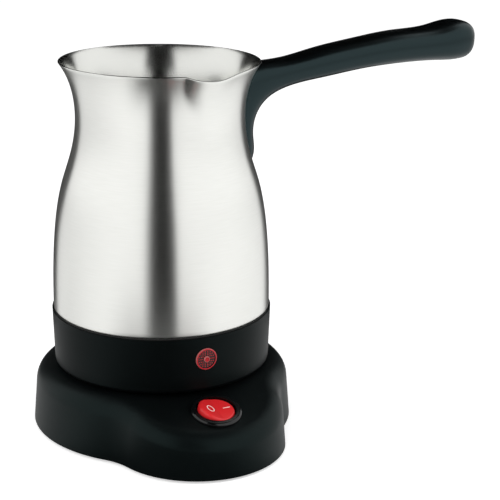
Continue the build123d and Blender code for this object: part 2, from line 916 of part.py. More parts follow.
with BuildPart() as handle_bracket:
    with BuildSketch(Plane.XY.offset(bracket_z)):
        with BuildLine():
            Polyline(
                (bracket_root_x, bracket_w / 2),
                (bracket_x, bracket_w / 2),
                (bracket_x, -bracket_w / 2),
                (bracket_root_x, -bracket_w / 2),
                (bracket_root_x, bracket_t - bracket_w / 2),
                (bracket_x - bracket_t, bracket_t - bracket_w / 2),
                (bracket_x - bracket_t, bracket_w / 2 - bracket_t),
                (bracket_root_x, bracket_w / 2 - bracket_t),
                close=True,
            )
        make_face()
    extrude(amount=bracket_h)
    add(pot_form(0), mode=Mode.SUBTRACT)
    with BuildSketch(Plane.YZ.offset(bracket_x)):
        with Locations([(0, height) for height in handle_screw_z]):
            Circle(handle_screw_r + screw_gap)
    extrude(amount=-2 * bracket_t, mode=Mode.SUBTRACT)

handle_bracket.part.label = "handle_bracket"
export_step(handle_bracket.part, "parts/handle_bracket.step")

with BuildPart() as handle_screws:
    with BuildSketch(Plane.YZ.offset(handle_head_x)):
        with Locations([(0, height) for height in handle_screw_z]):
            Circle(handle_head_r)
    extrude(amount=handle_head_t)
    with BuildSketch(Plane.YZ.offset(handle_head_x)):
        with Locations([(0, height) for height in handle_screw_z]):
            Circle(handle_screw_r)
    extrude(amount=bracket_x - bracket_t - handle_head_x)

handle_screws.part.label = "handle_screws"
export_step(handle_screws.part, "parts/handle_screws.step")

# ---------------------------------------------------------- base housing

with BuildPart() as housing_bosses:
    with BuildSketch(Plane.XY.offset(plate_top_z)):
        with Locations(base_screw_places):
            Circle(base_boss_r)
    extrude(amount=deck_z)
    with BuildSketch(Plane.XY.offset(ledge_z)):
        Circle(bearing_r)
    extrude(amount=deck_z)
    with BuildSketch(Plane.XY.offset(brush_plate_top_z)):
        with PolarLocations(brush_ear_ring_r, 3, start_angle=front):
            Circle(brush_post_r)
    extrude(amount=deck_z)
    with BuildSketch(Plane.XY.offset(gland_z)):
        with Locations(clamp_places):
            Circle(clamp_boss_r)
        with Locations((0, clamp_y)):
            Rectangle(clamp_span, base_wall)
    extrude(amount=deck_z)
    add(base_form(base_wall / 2), mode=Mode.INTERSECT)
    with BuildSketch(Plane.XZ.offset(-clamp_y)):
        with Locations((0, gland_z)):
            Circle(clamp_saddle_r)
    extrude(amount=clamp_w, both=True, mode=Mode.SUBTRACT)

with BuildPart() as base_housing:
    add(base_form(0))
    add(base_form(base_wall), mode=Mode.SUBTRACT)
    add(housing_bosses.part)
    # raised ring that the pot stands on
    with BuildSketch(Plane.XY.offset(deck_z)):
        Circle(seat_ring_r)
        Circle(bearing_r, mode=Mode.SUBTRACT)
    extrude(amount=seat_ring_h)
    chamfer(base_housing.faces().sort_by(Axis.Z)[-1].edges(), seat_ring_h / 3)
    # recess and hole of the turntable
    with BuildSketch(Plane.XY.offset(ledge_top_z)):
        Circle(disc_r + disc_gap)
    extrude(amount=deck_z, mode=Mode.SUBTRACT)
    with BuildSketch(Plane.XY.offset(ledge_z)):
        Circle(hub_r + running_gap)
    extrude(amount=deck_z, mode=Mode.SUBTRACT)
    # hole of the switch
    with BuildSketch(switch_plane):
        Circle(barrel_r + wall_gap)
    extrude(amount=2 * base_wall, both=True, mode=Mode.SUBTRACT)
    # screw holes
    with BuildSketch(Plane.XY.offset(plate_top_z)):
        with Locations(base_screw_places):
            Circle(base_screw_r + screw_gap)
    extrude(amount=base_screw_reach + screw_end_gap, mode=Mode.SUBTRACT)
    with BuildSketch(Plane.XY.offset(brush_plate_top_z)):
        with PolarLocations(brush_ear_ring_r, 3, start_angle=front):
            Circle(brush_screw_r + screw_gap)
    extrude(amount=brush_screw_reach + screw_end_gap, mode=Mode.SUBTRACT)
    with BuildSketch(Plane.XY.offset(gland_z)):
        with Locations(clamp_places):
            Circle(clamp_screw_r + screw_gap)
    extrude(amount=clamp_screw_reach + screw_end_gap, mode=Mode.SUBTRACT)
    # hole of the cord bushing
    with BuildSketch(Plane.XZ.offset(-gland_in_y)):
        with Locations((0, gland_z)):
            Circle(gland_r + running_gap)
    extrude(amount=-gland_l, mode=Mode.SUBTRACT)

base_housing.part.label = "base_housing"
export_step(base_housing.part, "parts/base_housing.step")

# ------------------------------------------------- base plate and its feet

with BuildPart() as base_plate:
    with BuildSketch(Plane.XY.offset(plate_z)):
        add(base_outline(base_wall + plate_gap))
        with Locations(foot_places):
            Circle(foot_stem_r + screw_gap, mode=Mode.SUBTRACT)
    extrude(amount=plate_t)
    with BuildSketch(Plane.XY.offset(plate_z)):
        with Locations(base_screw_places):
            Circle(base_head_r + seat_gap)
    extrude(amount=base_head_t, mode=Mode.SUBTRACT)
    with BuildSketch(Plane.XY.offset(plate_z)):
        with Locations(base_screw_places):
            Circle(base_screw_r + screw_gap)
    extrude(amount=plate_t, mode=Mode.SUBTRACT)

base_plate.part.label = "base_plate"
export_step(base_plate.part, "parts/base_plate.step")

with BuildPart() as base_screws:
    with BuildSketch(Plane.XY.offset(plate_z)):
        with Locations(base_screw_places):
            Circle(base_head_r)
    extrude(amount=base_head_t)
    with BuildSketch(Plane.XY.offset(plate_z)):
        with Locations(base_screw_places):
            Circle(base_screw_r)
    extrude(amount=plate_t + base_screw_reach)

base_screws.part.label = "base_screws"
export_step(base_screws.part, "parts/base_screws.step")

with BuildPart() as rubber_feet:
    with BuildSketch():
        with Locations(foot_places):
            Circle(foot_r)
    extrude(amount=plate_z)
    chamfer(rubber_feet.edges().group_by(Axis.Z)[0], plate_z / 4)
    with BuildSketch():
        with Locations(foot_places):
            Circle(foot_stem_r)
    extrude(amount=plate_top_z)
    with BuildSketch(Plane.XY.offset(plate_top_z)):
        with Locations(foot_places):
            Circle(foot_bulb_r)
    extrude(amount=foot_bulb_t, taper=foot_bulb_taper)

rubber_feet.part.label = "rubber_feet"
export_step(rubber_feet.part, "parts/rubber_feet.step")

# ------------------------------------------------------------ cord entry

with BuildPart() as housing_skin:
    add(base_form(-seat_gap))
    add(base_form(base_wall + seat_gap), mode=Mode.SUBTRACT)

with BuildPart() as cord_gland:
    with BuildSketch(Plane.XZ.offset(-gland_in_y)):
        with Locations((0, gland_z)):
            Circle(gland_flange_r)
    extrude(amount=-gland_l)
    add(housing_skin.part, mode=Mode.SUBTRACT)
    with BuildSketch(Plane.XZ.offset(-gland_in_y)):
        with Locations((0, gland_z)):
            Circle(gland_r)
    extrude(amount=-gland_l)
    with BuildSketch(Plane.XZ.offset(-gland_in_y)):
        with Locations((0, gland_z)):
            Circle(gland_bore_r)
    extrude(amount=-gland_l, mode=Mode.SUBTRACT)

cord_gland.part.label = "cord_gland"
export_step(cord_gland.part, "parts/cord_gland.step")

with BuildPart() as cord_clamp:
    with BuildSketch(Plane.XY.offset(gland_z)):
        with Locations((0, clamp_y)):
            RectangleRounded(clamp_l, clamp_w, clamp_w / 4)
        with Locations(clamp_places):
            Circle(clamp_screw_r + screw_gap, mode=Mode.SUBTRACT)
    extrude(amount=-clamp_t)
    with BuildSketch(Plane.XZ.offset(-clamp_y)):
        with Locations((0, gland_z)):
            Circle(clamp_saddle_r)
    extrude(amount=clamp_w, both=True, mode=Mode.SUBTRACT)

cord_clamp.part.label = "cord_clamp"
export_step(cord_clamp.part, "parts/cord_clamp.step")

with BuildPart() as clamp_screws:
    with BuildSketch(Plane.XY.offset(gland_z - clamp_t)):
        with Locations(clamp_places):
            Circle(clamp_head_r)
    extrude(amount=-clamp_head_t)
    with BuildSketch(Plane.XY.offset(gland_z - clamp_t)):
        with Locations(clamp_places):
            Circle(clamp_screw_r)
    extrude(amount=clamp_t + clamp_screw_reach)

clamp_screws.part.label = "clamp_screws"
export_step(clamp_screws.part, "parts/clamp_screws.step")

# ------------------------------------------------- turntable with its tower

with BuildPart() as swivel_socket:
    with BuildSketch(Plane.XZ):
        with BuildLine():
            Polyline(
                (0, hub_z),
                (hub_r, hub_z),
                (hub_r, disc_z),
                (disc_r, disc_z),
                (disc_r, disc_top_z),
                (tower_r, disc_top_z),
                (tower_r, tower_top_z),
                (0, tower_top_z),
                close=True,
            )
        make_face()
    revolve(axis=Axis.Z)
    chamfer(swivel_socket.edges().group_by(Axis.Z)[-1], tower_chamfer)
    with BuildSketch(Plane.XY.offset(hub_z)):
        with PolarLocations(pin_ring_r, 3, start_angle=back):
            Circle(pin_r + pin_play)
    extrude(amount=tower_top_z, mode=Mode.SUBTRACT)
    with BuildSketch(Plane.XY.offset(hub_z)):
        with PolarLocations(pin_ring_r, 3, start_angle=back):
            Circle(sleeve_r + screw_gap)
    extrude(amount=running_gap + sleeve_h + seat_gap, mode=Mode.SUBTRACT)
    with BuildSketch(Plane.XY.offset(hub_z)):
        with PolarLocations(retainer_screw_ring_r, 3, start_angle=front):
            Circle(retainer_screw_r + screw_gap)
    extrude(amount=hub_t, mode=Mode.SUBTRACT)

swivel_socket.part.label = "swivel_socket"
export_step(swivel_socket.part, "parts/swivel_socket.step")

with BuildPart() as socket_sleeves:
    with BuildSketch(Plane.XY.offset(hub_z + running_gap)):
        with PolarLocations(pin_ring_r, 3, start_angle=back):
            Circle(sleeve_r)
            Circle(pin_r + pin_play, mode=Mode.SUBTRACT)
    extrude(amount=sleeve_h)

socket_sleeves.part.label = "socket_sleeves"
export_step(socket_sleeves.part, "parts/socket_sleeves.step")

with BuildPart() as slip_rings:
    with BuildSketch(Plane.XY.offset(hub_z)):
        for ring_r in (outer_ring_r, inner_ring_r):
            Circle(ring_r + ring_w / 2)
            Circle(ring_r - ring_w / 2, mode=Mode.SUBTRACT)
        Circle(centre_stud_r)
    extrude(amount=-ring_t)

slip_rings.part.label = "slip_rings"
export_step(slip_rings.part, "parts/slip_rings.step")

with BuildPart() as swivel_retainer:
    with BuildSketch(Plane.XY.offset(hub_z)):
        Circle(retainer_r)
        Circle(retainer_bore_r, mode=Mode.SUBTRACT)
        with PolarLocations(retainer_screw_ring_r, 3, start_angle=front):
            Circle(retainer_screw_r + screw_gap, mode=Mode.SUBTRACT)
    extrude(amount=-retainer_t)

swivel_retainer.part.label = "swivel_retainer"
export_step(swivel_retainer.part, "parts/swivel_retainer.step")

with BuildPart() as retainer_screws:
    with BuildSketch(Plane.XY.offset(retainer_z)):
        with PolarLocations(retainer_screw_ring_r, 3, start_angle=front):
            Circle(retainer_head_r)
    extrude(amount=-retainer_head_t)
    with BuildSketch(Plane.XY.offset(retainer_z)):
        with PolarLocations(retainer_screw_ring_r, 3, start_angle=front):
            Circle(retainer_screw_r)
    extrude(amount=retainer_t + hub_t - running_gap)

retainer_screws.part.label = "retainer_screws"
export_step(retainer_screws.part, "parts/retainer_screws.step")

# --------------------------------------------- brushes under the turntable

with BuildPart() as brush_plate:
    with BuildSketch(Plane.XY.offset(brush_plate_z)):
        Circle(brush_plate_r)
        with PolarLocations(brush_ear_ring_r, 3, start_angle=front):
            Circle(brush_ear_r)
        make_hull()
        with PolarLocations(brush_ear_ring_r, 3, start_angle=front):
            Circle(brush_screw_r + screw_gap, mode=Mode.SUBTRACT)
    extrude(amount=brush_plate_t)

brush_plate.part.label = "brush_plate"
export_step(brush_plate.part, "parts/brush_plate.step")

with BuildPart() as brush_blades:
    for azimuth, ring_r in (
        (earth_azimuth, 0),
        (live_azimuth, outer_ring_r),
        (neutral_azimuth, inner_ring_r),
    ):
        foot_top = brush_plate_top_z + blade_t
        crest = [
            (blade_out_r, foot_top),
            (blade_knee_r, foot_top),
            (ring_r + blade_touch, blade_tip_z),
            (ring_r - blade_touch, blade_tip_z),
        ]
        under = [(r, z - blade_t) for r, z in reversed(crest)]
        with BuildSketch(radial(azimuth)):
            with BuildLine():
                Polyline(*crest, *under, close=True)
            make_face()
        extrude(amount=blade_w / 2, both=True)

brush_blades.part.label = "brush_blades"
export_step(brush_blades.part, "parts/brush_blades.step")

with BuildPart() as brush_screws:
    with BuildSketch(Plane.XY.offset(brush_plate_z)):
        with PolarLocations(brush_ear_ring_r, 3, start_angle=front):
            Circle(brush_head_r)
    extrude(amount=-brush_head_t)
    with BuildSketch(Plane.XY.offset(brush_plate_z)):
        with PolarLocations(brush_ear_ring_r, 3, start_angle=front):
            Circle(brush_screw_r)
    extrude(amount=brush_plate_t + brush_screw_reach)

brush_screws.part.label = "brush_screws"
export_step(brush_screws.part, "parts/brush_screws.step")

# ---------------------------------------------------------- rocker switch

with BuildPart() as switch_body:
    with BuildSketch(switch_plane):
        Circle(bezel_r)
    extrude(amount=bezel_t)
    rim = switch_body.faces().filter_by(lambda face: face.normal_at().Z > 0.9)
    fillet(rim.edges(), bezel_round)
    with BuildSketch(switch_plane):
        Circle(barrel_r)
    extrude(amount=-barrel_h)
    with BuildSketch(switch_plane.offset(bezel_t)):
        Circle(mouth_r)
    extrude(amount=barrel_floor_t - barrel_h - bezel_t, mode=Mode.SUBTRACT)
    with BuildSketch(side_of(switch_plane)):
        with Locations((0, rocker_pivot_h)):
            Circle(trunnion_r + screw_gap)
    extrude(amount=trunnion_reach + screw_gap, both=True, mode=Mode.SUBTRACT)
    with BuildSketch(switch_plane.offset(-barrel_h)):
        with Locations((0, 0), (-rivet_x, 0)):
            Rectangle(terminal_t + 2 * screw_gap, terminal_w + 2 * screw_gap)
    extrude(amount=barrel_floor_t, mode=Mode.SUBTRACT)

switch_body.part.label = "switch_body"
export_step(switch_body.part, "parts/switch_body.step")

with BuildPart() as switch_rocker:
    with BuildSketch(rocker_plane.offset(-rocker_skirt)):
        Circle(rocker_r)
    extrude(amount=rocker_skirt + rocker_r)
    # two facets that meet in a shallow V over the pivot
    reach = 2 * rocker_r
    facet_top = rocker_crown + reach * tan(radians(rocker_tilt))
    with BuildSketch(side_of(rocker_plane)):
        with BuildLine():
            Polyline(
                (-reach, facet_top),
                (0, rocker_crown),
                (reach, facet_top),
                (reach, 2 * reach),
                (-reach, 2 * reach),
                close=True,
            )
        make_face()
    extrude(amount=rocker_r, both=True, mode=Mode.SUBTRACT)
    facets = switch_rocker.faces().filter_by(GeomType.PLANE).sort_by(Axis.Z)[-2:]
    fillet(facets.edges().filter_by(GeomType.LINE, reverse=True), rocker_edge_round)
    with BuildSketch(rocker_plane.offset(-rocker_skirt)):
        Rectangle(post_w, post_w)
    extrude(amount=-post_h)
    with BuildSketch(rocker_plane.offset(-rocker_skirt - post_h)):
        Circle(plunger_r + screw_gap)
    extrude(amount=post_h, mode=Mode.SUBTRACT)
    with BuildSketch(side_of(rocker_plane)):
        Circle(trunnion_r)
    extrude(amount=trunnion_reach, both=True)

switch_rocker.part.label = "switch_rocker"
export_step(switch_rocker.part, "parts/switch_rocker.step")

with BuildPart() as switch_plunger:
    with BuildSketch(rocker_plane.offset(-rocker_skirt - running_gap)):
        Circle(plunger_r)
    extrude(amount=rocker_skirt + running_gap - plunger_h)
    tip = switch_plunger.faces().sort_by(Axis.Z)[0]
    fillet(tip.edges(), plunger_nose)

switch_plunger.part.label = "switch_plunger"
export_step(switch_plunger.part, "parts/switch_plunger.step")

with BuildPart() as switch_contact:
    with BuildSketch(contact_plane):
        Rectangle(contact_l, contact_w)
    extrude(amount=contact_t)
    with BuildSketch(contact_plane):
        with Locations((-rivet_x, 0)):
            Circle(rivet_r)
    extrude(amount=-rivet_t)

switch_contact.part.label = "switch_contact"
export_step(switch_contact.part, "parts/switch_contact.step")

with BuildPart() as switch_terminals:
    for place, drop in ((0, contact_drop + running_gap), (-rivet_x, pad_drop)):
        with BuildSketch(switch_plane.offset(-drop)):
            with Locations((place, 0)):
                Rectangle(terminal_t, terminal_w)
        extrude(amount=drop - barrel_h - terminal_out)
    with BuildSketch(switch_plane.offset(-pad_drop)):
        with Locations((-rivet_x, 0)):
            Rectangle(pad_w, terminal_w)
    extrude(amount=-terminal_t)

switch_terminals.part.label = "switch_terminals"
export_step(switch_terminals.part, "parts/switch_terminals.step")

terminal_side = (0, terminal_w / 2 + wire_r, wire_r - barrel_h - terminal_out)
on_terminal = switch_plane.from_local_coords(terminal_side)
on_brush = Vector(at(blade_out_r + wire_r + seat_gap, live_azimuth, brush_plate_top_z + blade_t / 2))

with BuildPart() as switch_lead:
    add(wire([on_terminal, *(Vector(*point) for point in lead_route), on_brush]))

switch_lead.part.label = "switch_lead"
export_step(switch_lead.part, "parts/switch_lead.step")
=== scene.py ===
import bpy
import bmesh
import json
import numpy as np
from math import cos, pi, radians, sin, sqrt, tan
from mathutils import Matrix, Vector


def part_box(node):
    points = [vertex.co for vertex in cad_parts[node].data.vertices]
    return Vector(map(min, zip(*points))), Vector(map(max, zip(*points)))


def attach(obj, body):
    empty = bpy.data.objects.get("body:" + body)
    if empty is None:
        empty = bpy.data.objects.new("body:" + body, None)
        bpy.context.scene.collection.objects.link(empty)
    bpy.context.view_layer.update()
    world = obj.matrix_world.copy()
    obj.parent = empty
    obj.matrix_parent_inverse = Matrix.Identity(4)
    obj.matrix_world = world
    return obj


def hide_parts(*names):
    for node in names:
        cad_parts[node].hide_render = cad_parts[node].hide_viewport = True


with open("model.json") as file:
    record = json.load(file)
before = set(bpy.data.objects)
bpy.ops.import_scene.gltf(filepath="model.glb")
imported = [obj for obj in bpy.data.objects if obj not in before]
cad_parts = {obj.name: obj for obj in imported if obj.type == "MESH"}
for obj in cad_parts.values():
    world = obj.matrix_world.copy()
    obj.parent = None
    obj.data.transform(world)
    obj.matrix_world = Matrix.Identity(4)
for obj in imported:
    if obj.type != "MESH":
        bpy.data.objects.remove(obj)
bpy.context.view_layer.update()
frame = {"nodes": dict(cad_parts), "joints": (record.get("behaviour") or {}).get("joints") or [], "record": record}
print("frame loaded:", len(frame["nodes"]), "nodes")

mergeDistance = 1e-6
slotOfNode = {part["node"]: part["material_slot"] for part in frame["record"]["subparts"]}
bodyMembers = frame["record"]["behaviour"]["bodies"]
bodyOfNode = {node: body for body, members in bodyMembers.items() for node in members}


# helpers for node trees

def addNode(tree, kind, **settings):
    node = tree.nodes.new(kind)
    for key, value in settings.items():
        setattr(node, key, value)
    return node


def mathNode(tree, operation, first, second=None):
    node = addNode(tree, "ShaderNodeMath", operation=operation)
    for socket, value in zip(node.inputs, (first, second)):
        if value is None:
            continue
        if isinstance(value, (int, float)):
            socket.default_value = value
        else:
            tree.links.new(value, socket)
    return node.outputs[0]


def rangeOf(tree, source, low, high):
    node = addNode(tree, "ShaderNodeMapRange")
    node.inputs["To Min"].default_value = low
    node.inputs["To Max"].default_value = high
    tree.links.new(source, node.inputs["Value"])
    return node.outputs[0]


def tintOf(tree, source, dark, light):
    node = addNode(tree, "ShaderNodeMix", data_type="RGBA")
    node.inputs[6].default_value = (*dark, 1)  # colour A
    node.inputs[7].default_value = (*light, 1)  # colour B
    tree.links.new(source, node.inputs["Factor"])
    return node.outputs[2]


def groupTree(name, inputs, outputs):
    group = bpy.data.node_groups.new(name, "ShaderNodeTree")
    for label, kind, value in inputs:
        socket = group.interface.new_socket(label, in_out="INPUT", socket_type=kind)
        socket.default_value = value
    for label, kind in outputs:
        group.interface.new_socket(label, in_out="OUTPUT", socket_type=kind)
    return group, addNode(group, "NodeGroupInput"), addNode(group, "NodeGroupOutput")


def placeGroup(tree, group, **values):
    node = addNode(tree, "ShaderNodeGroup", node_tree=group)
    for label, value in values.items():
        node.inputs[label].default_value = value
    return node


def newMaterial(name):
    mat = bpy.data.materials.new(name)
    mat.use_nodes = True
    tree = mat.node_tree
    return mat, tree, tree.nodes["Principled BSDF"]


# surface effects that materials share

grainEffect = {"size": 4000.0, "depth": 0.1, "detail": 3.0, "cloudScale": 35.0, "distance": 0.00004}
brushEffect = {"lines": 5000.0, "length": 6.0, "depth": 0.1, "detail": 2.0, "distance": 0.00005}


def makeGrainGroup():
    # fine spark-eroded grain of moulded plastic, with faint cloudiness
    g = grainEffect
    inputs = [("Size", "NodeSocketFloat", g["size"]), ("Depth", "NodeSocketFloat", g["depth"])]
    outputs = [("Cloud", "NodeSocketFloat"), ("Normal", "NodeSocketVector")]
    group, start, end = groupTree("mouldGrain", inputs, outputs)
    coords = addNode(group, "ShaderNodeTexCoord")
    grain = addNode(group, "ShaderNodeTexNoise")
    grain.inputs["Detail"].default_value = g["detail"]
    cloud = addNode(group, "ShaderNodeTexNoise")
    cloud.inputs["Scale"].default_value = g["cloudScale"]
    bump = addNode(group, "ShaderNodeBump")
    bump.inputs["Distance"].default_value = g["distance"]
    group.links.new(coords.outputs["Object"], grain.inputs["Vector"])
    group.links.new(coords.outputs["Object"], cloud.inputs["Vector"])
    group.links.new(start.outputs["Size"], grain.inputs["Scale"])
    group.links.new(start.outputs["Depth"], bump.inputs["Strength"])
    group.links.new(grain.outputs["Fac"], bump.inputs["Height"])
    group.links.new(cloud.outputs["Fac"], end.inputs["Cloud"])
    group.links.new(bump.outputs["Normal"], end.inputs["Normal"])
    return group


def makeBrushGroup():
    # lines that run round the Z axis, each broken after a part of a turn
    b = brushEffect
    inputs = [
        ("Lines", "NodeSocketFloat", b["lines"]),
        ("Length", "NodeSocketFloat", b["length"]),
        ("Depth", "NodeSocketFloat", b["depth"]),
    ]
    outputs = [("Line", "NodeSocketFloat"), ("Normal", "NodeSocketVector")]
    group, start, end = groupTree("brushedRound", inputs, outputs)
    coords = addNode(group, "ShaderNodeTexCoord")
    split = addNode(group, "ShaderNodeSeparateXYZ")
    group.links.new(coords.outputs["Object"], split.inputs[0])
    x, y, z = split.outputs
    turn = mathNode(group, "ARCTAN2", y, x)
    squares = [mathNode(group, "MULTIPLY", side, side) for side in (x, y)]
    radius = mathNode(group, "SQRT", mathNode(group, "ADD", *squares))
    along = mathNode(group, "MULTIPLY", turn, start.outputs["Length"])
    # on level faces the lines are told apart by radius, on walls by height
    across = mathNode(group, "MULTIPLY", mathNode(group, "ADD", z, radius), start.outputs["Lines"])
    place = addNode(group, "ShaderNodeCombineXYZ")
    group.links.new(along, place.inputs[0])
    group.links.new(across, place.inputs[1])
    lines = addNode(group, "ShaderNodeTexNoise")
    lines.inputs["Scale"].default_value = 1.0
    lines.inputs["Detail"].default_value = b["detail"]
    group.links.new(place.outputs[0], lines.inputs["Vector"])
    bump = addNode(group, "ShaderNodeBump")
    bump.inputs["Distance"].default_value = b["distance"]
    group.links.new(start.outputs["Depth"], bump.inputs["Strength"])
    group.links.new(lines.outputs["Fac"], bump.inputs["Height"])
    group.links.new(lines.outputs["Fac"], end.inputs["Line"])
    group.links.new(bump.outputs["Normal"], end.inputs["Normal"])
    return group


mouldGrain = makeGrainGroup()
brushedRound = makeBrushGroup()


# metals: dark and light tint, roughness, and how finely and deeply they are brushed

metalFinishes = {
    "brushedSteel": {
        "dark": (0.895, 0.9, 0.86), "light": (0.985, 0.99, 0.955), "rough": (0.27, 0.34),
        "lines": 2600.0, "length": 4.0, "depth": 0.05, "anisotropy": 0.8,
    },
    # same steel on the pot's inner faces, painted darker: painted shade inside the pot
    "brushedInside": {
        "dark": (0.78, 0.785, 0.75), "light": (0.87, 0.875, 0.84), "rough": (0.21, 0.27),
        "lines": 4200.0, "length": 5.0, "depth": 0.04, "anisotropy": 0.8,
    },
    "zincSteel": {"dark": (0.5, 0.5, 0.51), "light": (0.66, 0.66, 0.67), "rough": (0.28, 0.42)},
    "castAluminium": {
        "dark": (0.62, 0.62, 0.63), "light": (0.8, 0.8, 0.81), "rough": (0.35, 0.55), "depth": 0.3,
    },
    "contactBrass": {"dark": (0.68, 0.5, 0.22), "light": (0.85, 0.68, 0.36), "rough": (0.2, 0.34)},
}


def metalMaterial(name, dark, light, rough, lines=brushEffect["lines"], length=brushEffect["length"],
                  depth=brushEffect["depth"], anisotropy=0.0):
    mat, tree, shader = newMaterial(name)
    group = placeGroup(tree, brushedRound, Lines=lines, Length=length, Depth=depth)
    tree.links.new(tintOf(tree, group.outputs["Line"], dark, light), shader.inputs["Base Color"])
    tree.links.new(rangeOf(tree, group.outputs["Line"], *rough), shader.inputs["Roughness"])
    tree.links.new(group.outputs["Normal"], shader.inputs["Normal"])
    shader.inputs["Metallic"].default_value = 1.0
    if anisotropy:
        # a quarter turn stretches the highlight across the brushed lines
        shader.inputs["Anisotropic"].default_value = anisotropy
        shader.inputs["Anisotropic Rotation"].default_value = 0.25
        tangent = addNode(tree, "ShaderNodeTangent", direction_type="RADIAL", axis="Z")
        tree.links.new(tangent.outputs[0], shader.inputs["Tangent"])
    return mat


# plastics, rubber, sleeve cloth and paint: grain is its depth, gloss and sheen tone the reflection

plasticFinishes = {
    "blackShell": {
        "dark": (0.0014, 0.0018, 0.002), "light": (0.0024, 0.0031, 0.0034), "rough": (0.36, 0.44),
        "gloss": 0.18, "sheen": (0.62, 0.97, 0.94),
    },
    "blackGrip": {
        "dark": (0.0004, 0.0005, 0.0006), "light": (0.0008, 0.001, 0.0011), "rough": (0.27, 0.33),
        "grain": 0.05, "sheen": (0.6, 0.94, 1.0),
    },
    # same plastic as the shell, painted darker and with less gloss: painted shade on the collar
    "blackCollar": {
        "dark": (0.001, 0.0013, 0.0014), "light": (0.0018, 0.0023, 0.0025), "rough": (0.36, 0.44),
        "gloss": 0.1, "sheen": (0.68, 0.98, 0.96),
    },
    "bezelBlack": {
        "dark": (0.002, 0.0022, 0.0024), "light": (0.003, 0.0034, 0.0036), "rough": (0.12, 0.18),
        "grain": 0.02,
    },
    "innerBlack": {
        "dark": (0.02, 0.02, 0.022), "light": (0.035, 0.035, 0.037), "rough": (0.5, 0.65), "grain": 0.3,
    },
    "palePlastic": {
        "dark": (0.72, 0.69, 0.6), "light": (0.8, 0.77, 0.69), "rough": (0.4, 0.5), "grain": 0.15,
    },
    "rockerRed": {
        "dark": (0.6, 0.014, 0.018), "light": (0.68, 0.022, 0.025), "rough": (0.2, 0.28), "grain": 0.02,
    },
    "blackRubber": {
        "dark": (0.012, 0.012, 0.012), "light": (0.022, 0.022, 0.021), "rough": (0.7, 0.85), "grain": 0.4,
    },
    "sleeveCloth": {
        "dark": (0.66, 0.63, 0.55), "light": (0.85, 0.82, 0.75), "rough": (0.75, 0.9),
        "grain": 0.8, "size": 2500.0,
    },
    "markPaint": {
        "dark": (0.9, 0.62, 0.6), "light": (0.98, 0.74, 0.7), "rough": (0.4, 0.5), "grain": 0.05,
    },
}


def plasticMaterial(name, dark, light, rough, grain=grainEffect["depth"], size=grainEffect["size"],
                    gloss=0.5, sheen=(1, 1, 1)):
    mat, tree, shader = newMaterial(name)
    group = placeGroup(tree, mouldGrain, Size=size, Depth=grain)
    tree.links.new(tintOf(tree, group.outputs["Cloud"], dark, light), shader.inputs["Base Color"])
    tree.links.new(rangeOf(tree, group.outputs["Cloud"], *rough), shader.inputs["Roughness"])
    tree.links.new(group.outputs["Normal"], shader.inputs["Normal"])
    shader.inputs["Specular IOR Level"].default_value = gloss
    shader.inputs["Specular Tint"].default_value = (*sheen, 1)
    return mat


# red parts of the pilot lamp: two tints and how much light each lets pass

lensSurface = {"size": 1500.0, "depth": 0.05, "rough": 0.1, "ior": 1.49}
lensFinishes = {
    "lensRed": {"dark": (0.42, 0.006, 0.014), "light": (0.55, 0.01, 0.02), "passing": 0.2},
    # near-black copy of the lens red: painted shade on the sunken floor
    "lensDeep": {"dark": (0.006, 0.0006, 0.0006), "light": (0.012, 0.001, 0.001), "passing": 0.02},
    "lensDot": {"dark": (0.42, 0.012, 0.02), "light": (0.55, 0.03, 0.035), "passing": 0.05},
    # pale copy of the lens red: painted highlight on the rim's edge and the button's top
    "lensPale": {"dark": (0.42, 0.1, 0.1), "light": (0.5, 0.14, 0.13), "passing": 0.1},
}


def lensMaterial(name, dark, light, passing):
    mat, tree, shader = newMaterial(name)
    group = placeGroup(tree, mouldGrain, Size=lensSurface["size"], Depth=lensSurface["depth"])
    tree.links.new(tintOf(tree, group.outputs["Cloud"], dark, light), shader.inputs["Base Color"])
    tree.links.new(group.outputs["Normal"], shader.inputs["Normal"])
    shader.inputs["Roughness"].default_value = lensSurface["rough"]
    shader.inputs["Transmission Weight"].default_value = passing
    shader.inputs["IOR"].default_value = lensSurface["ior"]
    return mat


materials = {}
for makeMaterial, finishes in (
    (metalMaterial, metalFinishes), (plasticMaterial, plasticFinishes), (lensMaterial, lensFinishes),
):
    for name, finish in finishes.items():
        materials[name] = makeMaterial(name, **finish)
print("materials made")


# which material each slot of the record gets

slotMaterials = {
    "brushed_pot": "brushedSteel",
    "black_plastic": "blackShell",
    "bezel_black": "bezelBlack",
    "rocker_red": "rockerRed",
    "lens_red": "lensRed",
    "inner_plastic": "innerBlack",
    "pale_plastic": "palePlastic",
    "rubber_black": "blackRubber",
    "zinc_steel": "zincSteel",
    "heater_aluminium": "castAluminium",
    "contact_brass": "contactBrass",
    "lead_sleeve": "sleeveCloth",
}


def paint(item, materialName):
    item.data.materials.clear()
    item.data.materials.append(materials[materialName])


for nodeName, nodeObject in frame["nodes"].items():
    paint(nodeObject, slotMaterials[slotOfNode[nodeName]])


# helpers for pieces and meshes

def linked(name, data):
    item = bpy.data.objects.new(name, data)
    bpy.context.scene.collection.objects.link(item)
    return item


def addPiece(name, mesh, materialName, body):
    piece = linked(name, mesh)
    paint(piece, materialName)
    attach(piece, body)
    return piece


def pieceName(nodeName):
    first, *others = nodeName.split("_")
    return first + "".join(word.capitalize() for word in others)


def meshOf(shape, name):
    mesh = bpy.data.meshes.new(name)
    shape.to_mesh(mesh)
    shape.free()
    return mesh


def finishedMesh(item):
    # the mesh that an object's modifiers give
    graph = bpy.context.evaluated_depsgraph_get()
    return bpy.data.meshes.new_from_object(item.evaluated_get(graph), depsgraph=graph)


def shadeSmooth(shape, sharpDeg):
    for face in shape.faces:
        face.smooth = True
    for edge in shape.edges:
        if len(edge.link_faces) == 2:
            edge.smooth = edge.calc_face_angle() < radians(sharpDeg)


def quarterTurn(steps):
    # angles from 0 to 90 degrees
    return [radians(90 * i / steps) for i in range(steps + 1)]


